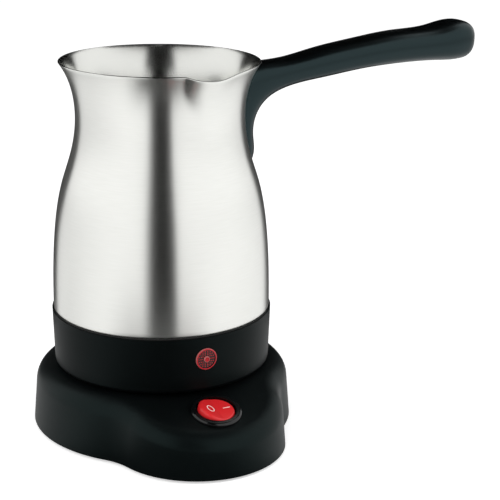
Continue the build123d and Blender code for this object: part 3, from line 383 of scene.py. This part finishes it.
def lathe(name, profile, steps, matrix, sharpDeg=40.0):
    # closed turned form; the profile runs from axis to axis as radius and height
    shape = bmesh.new()
    turns = [2 * pi * i / steps for i in range(steps)]
    rings = []
    for radius, height in profile:
        if radius < mergeDistance:
            rings.append([shape.verts.new(matrix @ Vector((0, 0, height)))] * steps)
        else:
            places = [Vector((radius * cos(turn), radius * sin(turn), height)) for turn in turns]
            rings.append([shape.verts.new(matrix @ place) for place in places])
    for low, high in zip(rings, rings[1:]):
        for i in range(steps):
            j = (i + 1) % steps
            shape.faces.new(list(dict.fromkeys((low[i], low[j], high[j], high[i]))))
    bmesh.ops.recalc_face_normals(shape, faces=shape.faces)
    shadeSmooth(shape, sharpDeg)
    return meshOf(shape, name)


def trimmed(mesh, cutter):
    # what is left of a closed mesh outside the cutter's form
    cutting, holder = linked("cutting", cutter), linked("trimmed", mesh)
    trim = holder.modifiers.new("trim", "BOOLEAN")
    trim.operation, trim.solver, trim.object = "DIFFERENCE", "EXACT", cutting
    result = finishedMesh(holder)
    for item in (cutting, holder):
        bpy.data.objects.remove(item)
    return result


def smoothCopy(nodeName, materialName=None, sharpDeg=32.0, cutter=None):
    # merged copy of a solid's facets, so that round faces shade round
    mesh = frame["nodes"][nodeName].data.copy()
    shape = bmesh.new()
    shape.from_mesh(mesh)
    bmesh.ops.remove_doubles(shape, verts=shape.verts, dist=mergeDistance)
    if cutter:
        shape.to_mesh(mesh)
        shape.clear()
        shape.from_mesh(trimmed(mesh, cutter))
    shadeSmooth(shape, sharpDeg)
    shape.to_mesh(mesh)
    shape.free()
    slotName = slotOfNode[nodeName]
    materialName = materialName or slotMaterials[slotName]
    piece = addPiece(pieceName(nodeName), mesh, materialName, bodyOfNode[nodeName])
    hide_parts(nodeName)


# the solids that keep their own shape; the screws and these three are made further down

# the collar takes the darker copy of the shell's black, painted shade
ownMaterials = {"handle": "blackGrip", "pot_collar": "blackCollar"}
madeHere = ["pot_shell", "lamp_lens", "switch_rocker"]
for nodeName in sorted(frame["nodes"]):
    if nodeName not in madeHere and not nodeName.endswith("_screws"):
        smoothCopy(nodeName, ownMaterials.get(nodeName))
print("solids dressed")


# helpers for trees that build meshes

def nodeTree(name, inputs):
    tree = bpy.data.node_groups.new(name, "GeometryNodeTree")
    tree.interface.new_socket("Geometry", in_out="INPUT", socket_type="NodeSocketGeometry")
    for label, kind in inputs:
        tree.interface.new_socket(label, in_out="INPUT", socket_type=kind)
    tree.interface.new_socket("Geometry", in_out="OUTPUT", socket_type="NodeSocketGeometry")
    return tree, addNode(tree, "NodeGroupInput"), addNode(tree, "NodeGroupOutput")


def addWired(tree, kind, **sources):
    # a node whose inputs are linked to sockets or set to plain values
    node = addNode(tree, kind)
    for label, source in sources.items():
        socket = node.inputs[label.replace("_", " ")]
        if isinstance(source, bpy.types.NodeSocket):
            tree.links.new(source, socket)
        else:
            socket.default_value = source
    return node


def endTree(tree, end, instances, finish):
    real = addWired(tree, "GeometryNodeRealizeInstances", Geometry=instances)
    dressed = addWired(tree, "GeometryNodeSetMaterial", Geometry=real.outputs["Geometry"], Material=finish)
    tree.links.new(dressed.outputs["Geometry"], end.inputs["Geometry"])


def meshFromTree(tree, points, values):
    # runs the tree on bare points and gives back a plain mesh
    mesh = bpy.data.meshes.new(tree.name)
    mesh.from_pydata(points, [], [])
    holder = linked(tree.name, mesh)
    modifier = holder.modifiers.new(tree.name, "NODES")
    modifier.node_group = tree
    for item in tree.interface.items_tree:
        if item.in_out == "INPUT" and item.name in values:
            modifier[item.identifier] = values[item.name]
    made = finishedMesh(holder)
    bpy.data.objects.remove(holder)
    return made


# pilot lens: raised rim, ring floor with small prisms, ringed button in the middle

lensShape = {
    "rimOut": 0.005, "rimIn": 0.0042, "rimSlope": 0.00012, "rimDrop": 0.0004, "rimRound": 0.0003,
    "flange": 0.0012, "stemRadius": 0.0042, "floorDrop": 0.0008, "steps": 64,
    # radius and height of the button's steps, from its foot to its middle
    "button": ((0.0014, -0.0008), (0.0014, -0.0002), (0.0012, 0), (0.00105, 0), (0.00085, -0.0004),
               (0.00042, -0.0004), (0.000315, -0.00016), (0, -0.00012)),
    # which radii get a painted highlight on the rim's edge and the button's top, and which get painted shade on
    # the sunken floor
    "paleRim": 0.00482, "paleRing": (0.00095, 0.0014), "paleHeight": -0.00056, "deepRing": (0.0013, 0.0043),
    # radius and count of each ring of prisms
    "prismSize": 0.00027, "prismRings": ((0.00205, 10), (0.0028, 14), (0.0036, 18)),
}


def prismTree():
    tree, start, end = nodeTree("prismRing", [
        ("Ring Radius", "NodeSocketFloat"), ("Count", "NodeSocketInt"), ("Size", "NodeSocketFloat"),
        ("Place", "NodeSocketVector"), ("Turn", "NodeSocketVector"), ("Finish", "NodeSocketMaterial"),
    ])
    given = start.outputs
    ring = addWired(tree, "GeometryNodeMeshCircle", Vertices=given["Count"], Radius=given["Ring Radius"])
    prism = addWired(tree, "GeometryNodeMeshIcoSphere", Radius=given["Size"], Subdivisions=2)
    spread = addWired(tree, "GeometryNodeInstanceOnPoints", Points=ring.outputs["Mesh"],
                      Instance=prism.outputs["Mesh"])
    moved = addWired(tree, "GeometryNodeTransform", Geometry=spread.outputs["Instances"],
                     Translation=given["Place"], Rotation=given["Turn"])
    endTree(tree, end, moved.outputs["Geometry"], given["Finish"])
    return tree


def lensProfile(depth):
    c = lensShape
    soft, drop, back = c["rimRound"], c["rimDrop"], -c["flange"] - c["rimDrop"]
    profile = [(0, -depth), (c["stemRadius"], -depth), (c["stemRadius"], back), (c["rimOut"], back)]
    for turn in quarterTurn(3):
        profile.append((c["rimOut"] - soft + soft * cos(turn), -soft - drop + soft * sin(turn)))
    profile += [(c["rimIn"] + c["rimSlope"], -drop), (c["rimIn"], -c["floorDrop"])]
    return profile + list(c["button"])


def lensPlace():
    # middle of the lens's face, and its depth
    low, high = [Vector(corner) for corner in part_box("lamp_lens")]
    middle = (low + high) / 2
    return Vector((middle.x, low.y, middle.z)), high.y - low.y


def makeLens():
    c = lensShape
    face, depth = lensPlace()
    matrix = Matrix.Translation(face) @ Matrix.Rotation(radians(90), 4, "X")
    body = lathe("lampLens", lensProfile(depth), c["steps"], matrix)
    piece = addPiece("lampLens", body, "lensRed", "pot")
    body.materials.append(materials["lensPale"])
    body.materials.append(materials["lensDeep"])
    # pale faces are painted highlight, near-black faces painted shade
    for polygon in body.polygons:
        place = matrix.inverted() @ polygon.center
        radius = sqrt(place.x**2 + place.y**2)
        onButton = place.z > c["paleHeight"] and c["paleRing"][0] < radius < c["paleRing"][1]
        if onButton or radius > c["paleRim"]:
            polygon.material_index = 1
        elif c["deepRing"][0] < radius < c["deepRing"][1]:
            polygon.material_index = 2
    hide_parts("lamp_lens")


def makePrisms():
    c = lensShape
    face, _ = lensPlace()
    tree = prismTree()
    shape = bmesh.new()
    for radius, count in c["prismRings"]:
        shape.from_mesh(meshFromTree(tree, [(0, 0, 0)], {
            "Ring Radius": radius, "Count": count, "Size": c["prismSize"],
            "Place": (face.x, face.y + c["floorDrop"], face.z), "Turn": (radians(90), 0, 0),
            "Finish": materials["lensDot"],
        }))
    addPiece("lensPrisms", meshOf(shape, "lensPrisms"), "lensDot", "pot")


makeLens()
makePrisms()
print("lens made")


# screws: one tree, run on the places of each kind; the shares are of the head's height and radius

screwShape = {"headSides": 32, "shankSides": 24, "roundShare": 0.4, "topShare": 0.72,
              "crossWidth": 0.28, "crossLength": 1.25, "crossDepth": 0.55}
# each kind's head height, shank radius, axis, and the way its head faces along that axis
screwKinds = {
    "base_screws": (0.0013, 0.0015, 2, -1),
    "handle_screws": (0.0018, 0.00145, 0, 1),
    "cover_screws": (0.0012, 0.0012, 2, -1),
    "plug_screws": (0.0012, 0.0009, 2, 1),
    "retainer_screws": (0.0013, 0.001, 2, -1),
    "brush_screws": (0.0014, 0.0012, 2, -1),
    "clamp_screws": (0.0015, 0.0013, 2, -1),
}
headTurns = {(2, -1): (pi, 0, 0), (2, 1): (0, 0, 0), (0, 1): (0, pi / 2, 0)}


def boxOf(points):
    return [Vector([pick(point[axis] for point in points) for axis in range(3)]) for pick in (min, max)]


def solidsOf(nodeName):
    # lowest and highest corners of each solid in a node
    shape = bmesh.new()
    shape.from_mesh(frame["nodes"][nodeName].data)
    bmesh.ops.remove_doubles(shape, verts=shape.verts, dist=mergeDistance)
    left = dict.fromkeys(shape.verts)  # keeps their order, so that each run gives the same
    boxes = []
    while left:
        points, front = [], [left.popitem()[0]]
        while front:
            vert = front.pop()
            points.append(vert.co.copy())
            for edge in vert.link_edges:
                other = edge.other_vert(vert)
                if other in left:
                    del left[other]
                    front.append(other)
        boxes.append(boxOf(points))
    shape.free()
    return boxes


def screwTree():
    labels = ["Head Radius", "Head Height", "Shank Radius", "Shank Length"]
    tree, start, end = nodeTree("crossScrew", [(label, "NodeSocketFloat") for label in labels]
                                + [("Turn", "NodeSocketVector"), ("Finish", "NodeSocketMaterial")])
    headRadius, headHeight, shankRadius, shankLength = [start.outputs[label] for label in labels]

    def shifted(node, height):
        up = addWired(tree, "ShaderNodeCombineXYZ", Z=height)
        moved = addWired(tree, "GeometryNodeTransform", Geometry=node.outputs["Mesh"],
                         Translation=up.outputs[0])
        return moved.outputs["Geometry"]

    def times(value, factor):
        return mathNode(tree, "MULTIPLY", value, factor)

    c = screwShape
    straight = 1 - c["roundShare"]
    skirt = addWired(tree, "GeometryNodeMeshCylinder", Vertices=c["headSides"], Radius=headRadius,
                     Depth=times(headHeight, straight))
    crown = addWired(tree, "GeometryNodeMeshCone", Vertices=c["headSides"], Radius_Bottom=headRadius,
                     Radius_Top=times(headRadius, c["topShare"]), Depth=times(headHeight, c["roundShare"]))
    shank = addWired(tree, "GeometryNodeMeshCylinder", Vertices=c["shankSides"], Radius=shankRadius,
                     Depth=shankLength)
    solid = addNode(tree, "GeometryNodeMeshBoolean", operation="UNION", solver="EXACT")
    for mesh in (shifted(skirt, times(headHeight, straight / 2)),
                 shifted(crown, times(headHeight, straight)),
                 shifted(shank, times(shankLength, -0.5))):
        tree.links.new(mesh, solid.inputs["Mesh 2"])
    cut = addNode(tree, "GeometryNodeMeshBoolean", operation="DIFFERENCE", solver="EXACT")
    tree.links.new(solid.outputs["Mesh"], cut.inputs["Mesh 1"])
    for width, length in ((c["crossWidth"], c["crossLength"]), (c["crossLength"], c["crossWidth"])):
        size = addWired(tree, "ShaderNodeCombineXYZ", X=times(headRadius, width),
                        Y=times(headRadius, length), Z=times(headHeight, c["crossDepth"] * 2))
        bar = addWired(tree, "GeometryNodeMeshCube", Size=size.outputs[0])
        tree.links.new(shifted(bar, headHeight), cut.inputs["Mesh 2"])
    spread = addWired(tree, "GeometryNodeInstanceOnPoints", Points=start.outputs["Geometry"],
                      Instance=cut.outputs["Mesh"], Rotation=start.outputs["Turn"])
    endTree(tree, end, spread.outputs["Instances"], start.outputs["Finish"])
    return tree


def makeScrews(tree, nodeName, headHeight, shankRadius, axis, sign):
    # the head's face lies at one end of each solid's box, along the axis
    boxes = solidsOf(nodeName)
    low, high = boxes[0]
    acrossAxis = 1 if axis == 0 else 0
    places = []
    for boxLow, boxHigh in boxes:
        place = (boxLow + boxHigh) / 2
        place[axis] = boxHigh[axis] - headHeight if sign > 0 else boxLow[axis] + headHeight
        places.append(tuple(place))
    mesh = meshFromTree(tree, places, {
        "Head Radius": (high[acrossAxis] - low[acrossAxis]) / 2, "Head Height": headHeight,
        "Shank Radius": shankRadius, "Shank Length": high[axis] - low[axis] - headHeight,
        "Turn": headTurns[axis, sign], "Finish": materials["zincSteel"],
    })
    piece = addPiece(pieceName(nodeName), mesh, "zincSteel", bodyOfNode[nodeName])
    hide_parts(nodeName)


crossScrew = screwTree()
for nodeName, sizes in screwKinds.items():
    makeScrews(crossScrew, nodeName, *sizes)
print("screws made")


# pot, one sheet of steel turned to its profile, with the lip pressed out of the rim

potShape = {
    "wall": 0.0008, "floorHeight": 0.0512, "floorRound": 0.004, "footRadius": 0.0481, "jointRound": 0.0009,
    "floorRings": (0.15, 0.3, 0.5, 0.7, 0.85),  # shares of the foot's radius
    # radius and height of the side, from the joint with the collar to the rim
    "side": ((0.0507, 0.0569), (0.0494, 0.092), (0.04525, 0.1163),
             (0.0414, 0.1285), (0.03865, 0.147), (0.0458, 0.1717)),
    "sideSteps": 14, "sideStart": 1.5,  # the side's first ring, in joint rounds above the joint
    "flareDeg": 37.0, "rimRound": 0.00025, "rimSegments": 2, "rimEdgeDeg": 55.0,
    "stepDeg": 1.5, "fineStepDeg": 0.5, "fineReachDeg": 18.0,
}
# lip: how far it stands out, its half widths, how deep it reaches and how fast it fades, how far
# the rim dips there, how wide its creases are, how sharply left turns to right, and where it ends
lipShape = {
    "turnDeg": 4.0, "reach": 0.0013, "left": 0.0100, "right": 0.0115, "depth": 0.0155, "fall": 1.6,
    "dip": 0.002, "creaseLeft": 0.0003, "creaseRight": 0.0022, "blend": 2.0, "zone": 0.062,
}


def splineThrough(points, startSlope, endSlope, steps):
    # smooth curve through the points, held to a direction at each end
    points = np.array(points)
    spans = np.linalg.norm(np.diff(points, axis=0), axis=1)
    count = len(points)
    system, target = np.zeros((count, count)), np.zeros((count, 2))
    system[0, 0] = system[-1, -1] = 1
    target[0], target[-1] = startSlope, endSlope
    for i in range(1, count - 1):
        before, after = spans[i - 1], spans[i]
        system[i, i - 1:i + 2] = after, 2 * (before + after), before
        rise, nextRise = points[i] - points[i - 1], points[i + 1] - points[i]
        target[i] = 3 * (after * rise / before + before * nextRise / after)
    slopes = np.linalg.solve(system, target)
    curve = []
    for i, span in enumerate(spans):
        for t in np.linspace(0, 1, steps, endpoint=False):
            fromEnds = (2 * t**3 - 3 * t**2 + 1) * points[i] + (3 * t**2 - 2 * t**3) * points[i + 1]
            fromSlopes = (t**3 - 2 * t**2 + t) * slopes[i] + (t**3 - t**2) * slopes[i + 1]
            curve.append(tuple(fromEnds + span * fromSlopes))
    return curve + [tuple(points[-1])]


def potProfile():
    # radius and height from the middle of the floor to the rim
    p = potShape
    foot, floor, bend = p["footRadius"], p["floorHeight"], p["floorRound"]
    (jointRadius, jointHeight), edge = p["side"][0], p["jointRound"]
    line = [(foot * share, floor) for share in p["floorRings"]]
    for turn in quarterTurn(6):
        line.append((foot - bend + bend * sin(turn), floor + bend - bend * cos(turn)))
    line.append((foot, jointHeight))
    for turn in quarterTurn(4):
        line.append((jointRadius - edge + edge * sin(turn), jointHeight + edge - edge * cos(turn)))
    flare = radians(p["flareDeg"])
    side = splineThrough(p["side"], (0, 1), (sin(flare), cos(flare)), p["sideSteps"])
    return line + [point for point in side if point[1] > jointHeight + edge * p["sideStart"]]


def lipPush(turn, radius, below):
    # how far the lip stands out at a depth below the rim, with a soft crease round it
    c = lipShape
    side = 0.5 + 0.5 * np.tanh(turn * radius / c["left"] * c["blend"])
    across = turn * radius / (c["left"] + (c["right"] - c["left"]) * side)
    crease = c["creaseLeft"] + (c["creaseRight"] - c["creaseLeft"]) * side
    down = max(0.0, below) / c["depth"]
    push = c["reach"] * (1 - down ** c["fall"] - across**2)
    return (push + sqrt(push**2 + crease**2)) / 2


def turnsRound():
    # finer steps round the lip, which stands at 0
    p = potShape
    turns = []
    turnDeg = -180.0
    while turnDeg < 180.0 - mergeDistance:
        turns.append(radians(turnDeg))
        turnDeg += p["fineStepDeg"] if abs(turnDeg) < p["fineReachDeg"] else p["stepDeg"]
    return turns


def potSheet():
    # the sheet's outer face, open at the rim
    turns, profile = turnsRound(), potProfile()
    rim = profile[-1][1]
    shape = bmesh.new()
    middle = shape.verts.new((0, 0, potShape["floorHeight"]))
    rings = []
    for radius, height in profile:
        ring = []
        for turn in turns:
            push = lipPush(turn, radius, rim - height) if rim - height < lipShape["zone"] else 0.0
            reach = radius + push
            azimuth = turn + radians(lipShape["turnDeg"])
            low = height - lipShape["dip"] * push / lipShape["reach"]
            ring.append(shape.verts.new((reach * sin(azimuth), -reach * cos(azimuth), low)))
        rings.append(ring)
    for i in range(len(turns)):
        j = (i + 1) % len(turns)
        shape.faces.new((middle, rings[0][j], rings[0][i]))
        for low, high in zip(rings, rings[1:]):
            shape.faces.new((low[i], low[j], high[j], high[i]))
    bmesh.ops.recalc_face_normals(shape, faces=shape.faces)
    if sum(face.normal.z for face in middle.link_faces) > 0:
        bmesh.ops.reverse_faces(shape, faces=shape.faces)
    for face in shape.faces:
        face.smooth = True
    return meshOf(shape, "potSheet")


def makePot():
    p = potShape
    sheet = linked("potSheet", potSheet())
    wall = sheet.modifiers.new("wall", "SOLIDIFY")
    wall.thickness, wall.offset, wall.use_even_offset = p["wall"], -1.0, True
    soft = sheet.modifiers.new("rimRound", "BEVEL")
    soft.width, soft.segments = p["rimRound"], p["rimSegments"]
    soft.limit_method, soft.angle_limit = "ANGLE", radians(p["rimEdgeDeg"])
    finished = finishedMesh(sheet)
    bpy.data.objects.remove(sheet)
    piece = addPiece("potShell", finished, "brushedSteel", "pot")
    # inner wall and floor take the darker steel, painted shade inside the pot
    finished.materials.append(materials["brushedInside"])
    for face in finished.polygons:
        outward = face.normal.x * face.center.x + face.normal.y * face.center.y
        innerWall = outward < 0 and face.center.z > p["floorHeight"]
        innerFloor = face.normal.z > 0.5 and face.center.z > p["floorHeight"] + p["wall"] / 2
        face.material_index = 1 if innerWall or innerFloor else 0
    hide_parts("pot_shell")


makePot()
print("pot made")


# rocker: two facets that meet in a valley over the hinge, its pivots trimmed to its rounded edge

rockerShape = {"radius": 0.0084, "edgeRound": 0.0012, "crown": 0.001, "facetDeg": 10.0, "restDeg": 10.0,
               "clearance": 0.0001, "trimWidth": 0.0019, "trimReach": 0.002}
# printed O and I, each placed by its distance from the hinge
markShape = {"ovalPlace": 0.0032, "ovalX": 0.0016, "ovalY": 0.0021, "ovalSteps": 40, "barPlace": 0.0047,
             "barLength": 0.0034, "stroke": 0.00045, "proud": 0.00005, "sunk": 0.0002}


def rockerFrame():
    # x across the hinge, y along it, z out of the rocker's top
    joint = next(j for j in frame["joints"] if j["name"] == "rocker_tilt")
    across, hinge = Vector((1, 0, 0)), Vector(joint["axis"]).normalized()
    turned = Matrix.Rotation(radians(rockerShape["restDeg"]), 3, hinge)
    axes = Matrix((turned @ across, hinge, turned @ across.cross(hinge))).transposed()
    return Matrix.Translation(Vector(joint["pos_m"])) @ axes.to_4x4()


def addWall(shape, low, high):
    for i in range(len(low)):
        j = (i + 1) % len(low)
        shape.faces.new((low[i], low[j], high[j], high[i]))


def pivotTrim():
    # over each pivot, all that would stand out of the rocker's round edge
    r = rockerShape
    place, half = rockerFrame(), r["trimWidth"] / 2
    bend = r["edgeRound"] + r["clearance"]
    inner, level = r["radius"] - r["edgeRound"], r["crown"] - r["edgeRound"]
    outer, top = r["radius"] + r["trimReach"], r["trimReach"]
    outline = [(inner + bend * cos(turn), level + bend * sin(turn)) for turn in reversed(quarterTurn(6))]
    outline += [(outer, level), (outer, top), (inner, top)]
    shape = bmesh.new()
    for side in (-1, 1):
        ends = []
        for x in (-half, half):
            ends.append([shape.verts.new(place @ Vector((x, side * y, z))) for y, z in outline])
            shape.faces.new(ends[-1])
        addWall(shape, *ends)
    bmesh.ops.recalc_face_normals(shape, faces=shape.faces)
    return meshOf(shape, "pivotTrim")


def facetFrame(side):
    # level with one facet, at the mark's centre
    slope = radians(rockerShape["facetDeg"])
    along = markShape["barPlace"] if side > 0 else markShape["ovalPlace"]
    place = Vector((side * along, 0, rockerShape["crown"] + along * tan(slope)))
    return rockerFrame() @ Matrix.Translation(place) @ Matrix.Rotation(-slope * side, 4, "Y")


def addPrism(shape, outlines, matrix):
    # one outline gives a solid mark, two give a ring
    levels = []
    for z in (-markShape["sunk"], markShape["proud"]):
        levels.append([[shape.verts.new(matrix @ Vector((x, y, z))) for x, y in line] for line in outlines])
    for low, high in zip(*levels):
        addWall(shape, low, high)
    for level in levels:
        if len(level) == 2:
            addWall(shape, *level)
        else:
            shape.faces.new(level[0])


def makeMarks():
    m = markShape
    shape = bmesh.new()
    turns = [2 * pi * i / m["ovalSteps"] for i in range(m["ovalSteps"])]
    thick = m["stroke"] / 2
    oval = [[((m["ovalX"] + grow) * cos(turn), (m["ovalY"] + grow) * sin(turn)) for turn in turns]
            for grow in (thick, -thick)]
    addPrism(shape, oval, facetFrame(-1))
    half = m["barLength"] / 2
    addPrism(shape, [[(-half, -thick), (half, -thick), (half, thick), (-half, thick)]], facetFrame(1))
    bmesh.ops.recalc_face_normals(shape, faces=shape.faces)
    addPiece("rockerMarks", meshOf(shape, "rockerMarks"), "markPaint", "rocker")


smoothCopy("switch_rocker", cutter=pivotTrim())
makeMarks()
print("rocker made")


# camera

cameraSetup = {"lens": 101.78, "distance": 0.63408, "height": 0.27835, "aroundDeg": -22.6,
               "panDeg": 3.757, "pitchDeg": 17.174, "rollDeg": 0.658, "clipStart": 0.01}


def makeCamera():
    c = cameraSetup
    around, pitch, roll = radians(c["aroundDeg"]), radians(c["pitchDeg"]), radians(c["rollDeg"])
    heading = radians(c["panDeg"]) - around
    forward = Vector((sin(heading) * cos(pitch), cos(heading) * cos(pitch), -sin(pitch)))
    level = Vector((cos(heading), -sin(heading), 0))
    upward = level.cross(forward)
    right = cos(roll) * level + sin(roll) * upward
    top = cos(roll) * upward - sin(roll) * level
    data = bpy.data.cameras.new("camera")
    data.lens = c["lens"]
    data.clip_start = c["clipStart"]
    holder = linked("camera", data)
    place = Vector((c["distance"] * sin(around), -c["distance"] * cos(around), c["height"]))
    holder.matrix_world = Matrix.Translation(place) @ Matrix((right, top, -forward)).transposed().to_4x4()
    bpy.context.scene.camera = holder


# floor and lights

studio = {"floorSize": 12.0, "floorColour": 0.9, "floorGlow": 0.5, "worldFill": 0.55}
lampAim = (0, 0, 0.1)
lamps = {
    "leftSoftbox": {"place": (-0.9, -0.7, 0.9), "size": (0.7, 0.7), "power": 9.0},
    "rightSoftbox": {"place": (0.9, -0.6, 0.8), "size": (0.6, 0.6), "power": 6.0},
}


def seenBy(tree, *kinds):
    # 1 for camera rays and the named kinds, 0 for the others
    path = addNode(tree, "ShaderNodeLightPath")
    seen = path.outputs["Is Camera Ray"]
    for kind in kinds:
        seen = mathNode(tree, "MAXIMUM", seen, path.outputs[kind])
    return seen


def makeWorld():
    # white to the camera and in reflections, softer as a light
    world = bpy.data.worlds.new("studioWorld")
    world.use_nodes = True
    tree = world.node_tree
    back = tree.nodes["Background"]
    back.inputs["Color"].default_value = (1, 1, 1, 1)
    seen = seenBy(tree, "Is Glossy Ray", "Is Transmission Ray")
    tree.links.new(rangeOf(tree, seen, studio["worldFill"], 1.0), back.inputs["Strength"])
    bpy.context.scene.world = world


def matteMaterial(name, grey):
    mat, tree, shader = newMaterial(name)
    shader.inputs["Base Color"].default_value = (grey, grey, grey, 1)
    shader.inputs["Roughness"].default_value = 1.0
    shader.inputs["Specular IOR Level"].default_value = 0.0
    materials[name] = mat
    return tree, shader


def addStage(name, points, faces, materialName):
    mesh = bpy.data.meshes.new(name)
    mesh.from_pydata(points, [], faces)
    item = linked(name, mesh)
    paint(item, materialName)
    return item


def makeFloor():
    tree, shader = matteMaterial("floorPaper", studio["floorColour"])
    shader.inputs["Emission Color"].default_value = (1, 1, 1, 1)
    glow = rangeOf(tree, seenBy(tree), 0.0, studio["floorGlow"])
    tree.links.new(glow, shader.inputs["Emission Strength"])
    half = studio["floorSize"] / 2
    corners = [(-half, -half, 0), (half, -half, 0), (half, half, 0), (-half, half, 0)]
    addStage("floor", corners, [(0, 1, 2, 3)], "floorPaper")


def addLamp(name, place, size, power):
    lamp = bpy.data.lights.new(name, "AREA")
    lamp.shape = "RECTANGLE"
    lamp.size, lamp.size_y = size
    lamp.energy = power
    holder = linked(name, lamp)
    holder.location = place
    holder.rotation_euler = (Vector(lampAim) - Vector(place)).to_track_quat("-Z", "Y").to_euler()
    holder.visible_glossy = False


# dark cards, which only reflections see: arc and fading edges in degrees from the camera's side,
# grey, and rows of radius, height and cover

cardSteps = 48
cardNear, cardFar = 0.15, 0.5
cardFoot, sideTop, joinHeight = 0.001, 0.19, 0.22
matHeight, ceilingHeight = 0.0008, 0.9
cards = {
    "front": {"arc": (-16.0, 15.0), "fade": (8.0, 4.0), "grey": 0.004,
              "rows": ((cardNear, cardFoot, 0), (cardNear, 0.03, 1), (cardNear, joinHeight, 1))},
    "upper": {"arc": (-27.0, 26.0), "fade": (7.0, 6.0), "grey": 0.002,
              "rows": ((cardNear, joinHeight, 1), (cardNear, 0.7, 1))},
    "right": {"arc": (122.0, 163.0), "fade": (6.0, 4.0), "grey": 0.06,
              "rows": ((cardNear, cardFoot, 1), (cardNear, sideTop, 1))},
    "left": {"arc": (-163.0, -122.0), "fade": (4.0, 6.0), "grey": 0.06,
             "rows": ((cardNear, cardFoot, 1), (cardNear, sideTop, 1))},
    "back": {"arc": (136.0, 232.0), "fade": (4.0, 3.0), "grey": 0.003,
             "rows": ((cardFar, 0.02, 1), (cardFar, 0.95, 1))},
    "ceiling": {"arc": (0.0, 360.0), "fade": (0.001, 0.001), "grey": 0.01,
                "rows": ((0.0, ceilingHeight, 1), (cardFar, ceilingHeight, 1))},
    "mat": {"arc": (-54.0, 48.0), "fade": (26.0, 26.0), "grey": 0.01,
            "rows": ((0.05, matHeight, 1), (0.13, matHeight, 1), (0.24, matHeight, 0))},
}


def makeCard(name, arc, fade, grey, rows):
    tree, shader = matteMaterial(name, grey)
    cover = addNode(tree, "ShaderNodeAttribute", attribute_name="cover")
    tree.links.new(cover.outputs["Fac"], shader.inputs["Alpha"])
    points, faces, covers = [], [], []
    width = arc[1] - arc[0]
    for i in range(cardSteps + 1):
        along = width * i / cardSteps
        turn = radians(cameraSetup["aroundDeg"] + arc[0] + along)
        share = min(1.0, along / fade[0], (width - along) / fade[1])
        for radius, height, rowCover in rows:
            points.append((radius * sin(turn), -radius * cos(turn), height))
            covers.append(share * rowCover)
    for i in range(cardSteps):
        for j in range(len(rows) - 1):
            low = i * len(rows) + j
            faces.append((low, low + len(rows), low + len(rows) + 1, low + 1))
    card = addStage(name, points, faces, name)
    card.data.attributes.new("cover", "FLOAT", "POINT").data.foreach_set("value", covers)
    for kind in ("camera", "diffuse", "shadow", "transmission", "volume_scatter"):
        setattr(card, "visible_" + kind, False)


makeWorld()
makeFloor()
makeCamera()
for cardName, card in cards.items():
    makeCard(cardName + "Card", **card)
for lampName, lamp in lamps.items():
    addLamp(lampName, **lamp)
bpy.context.scene.view_settings.view_transform = "Standard"
print("studio made")
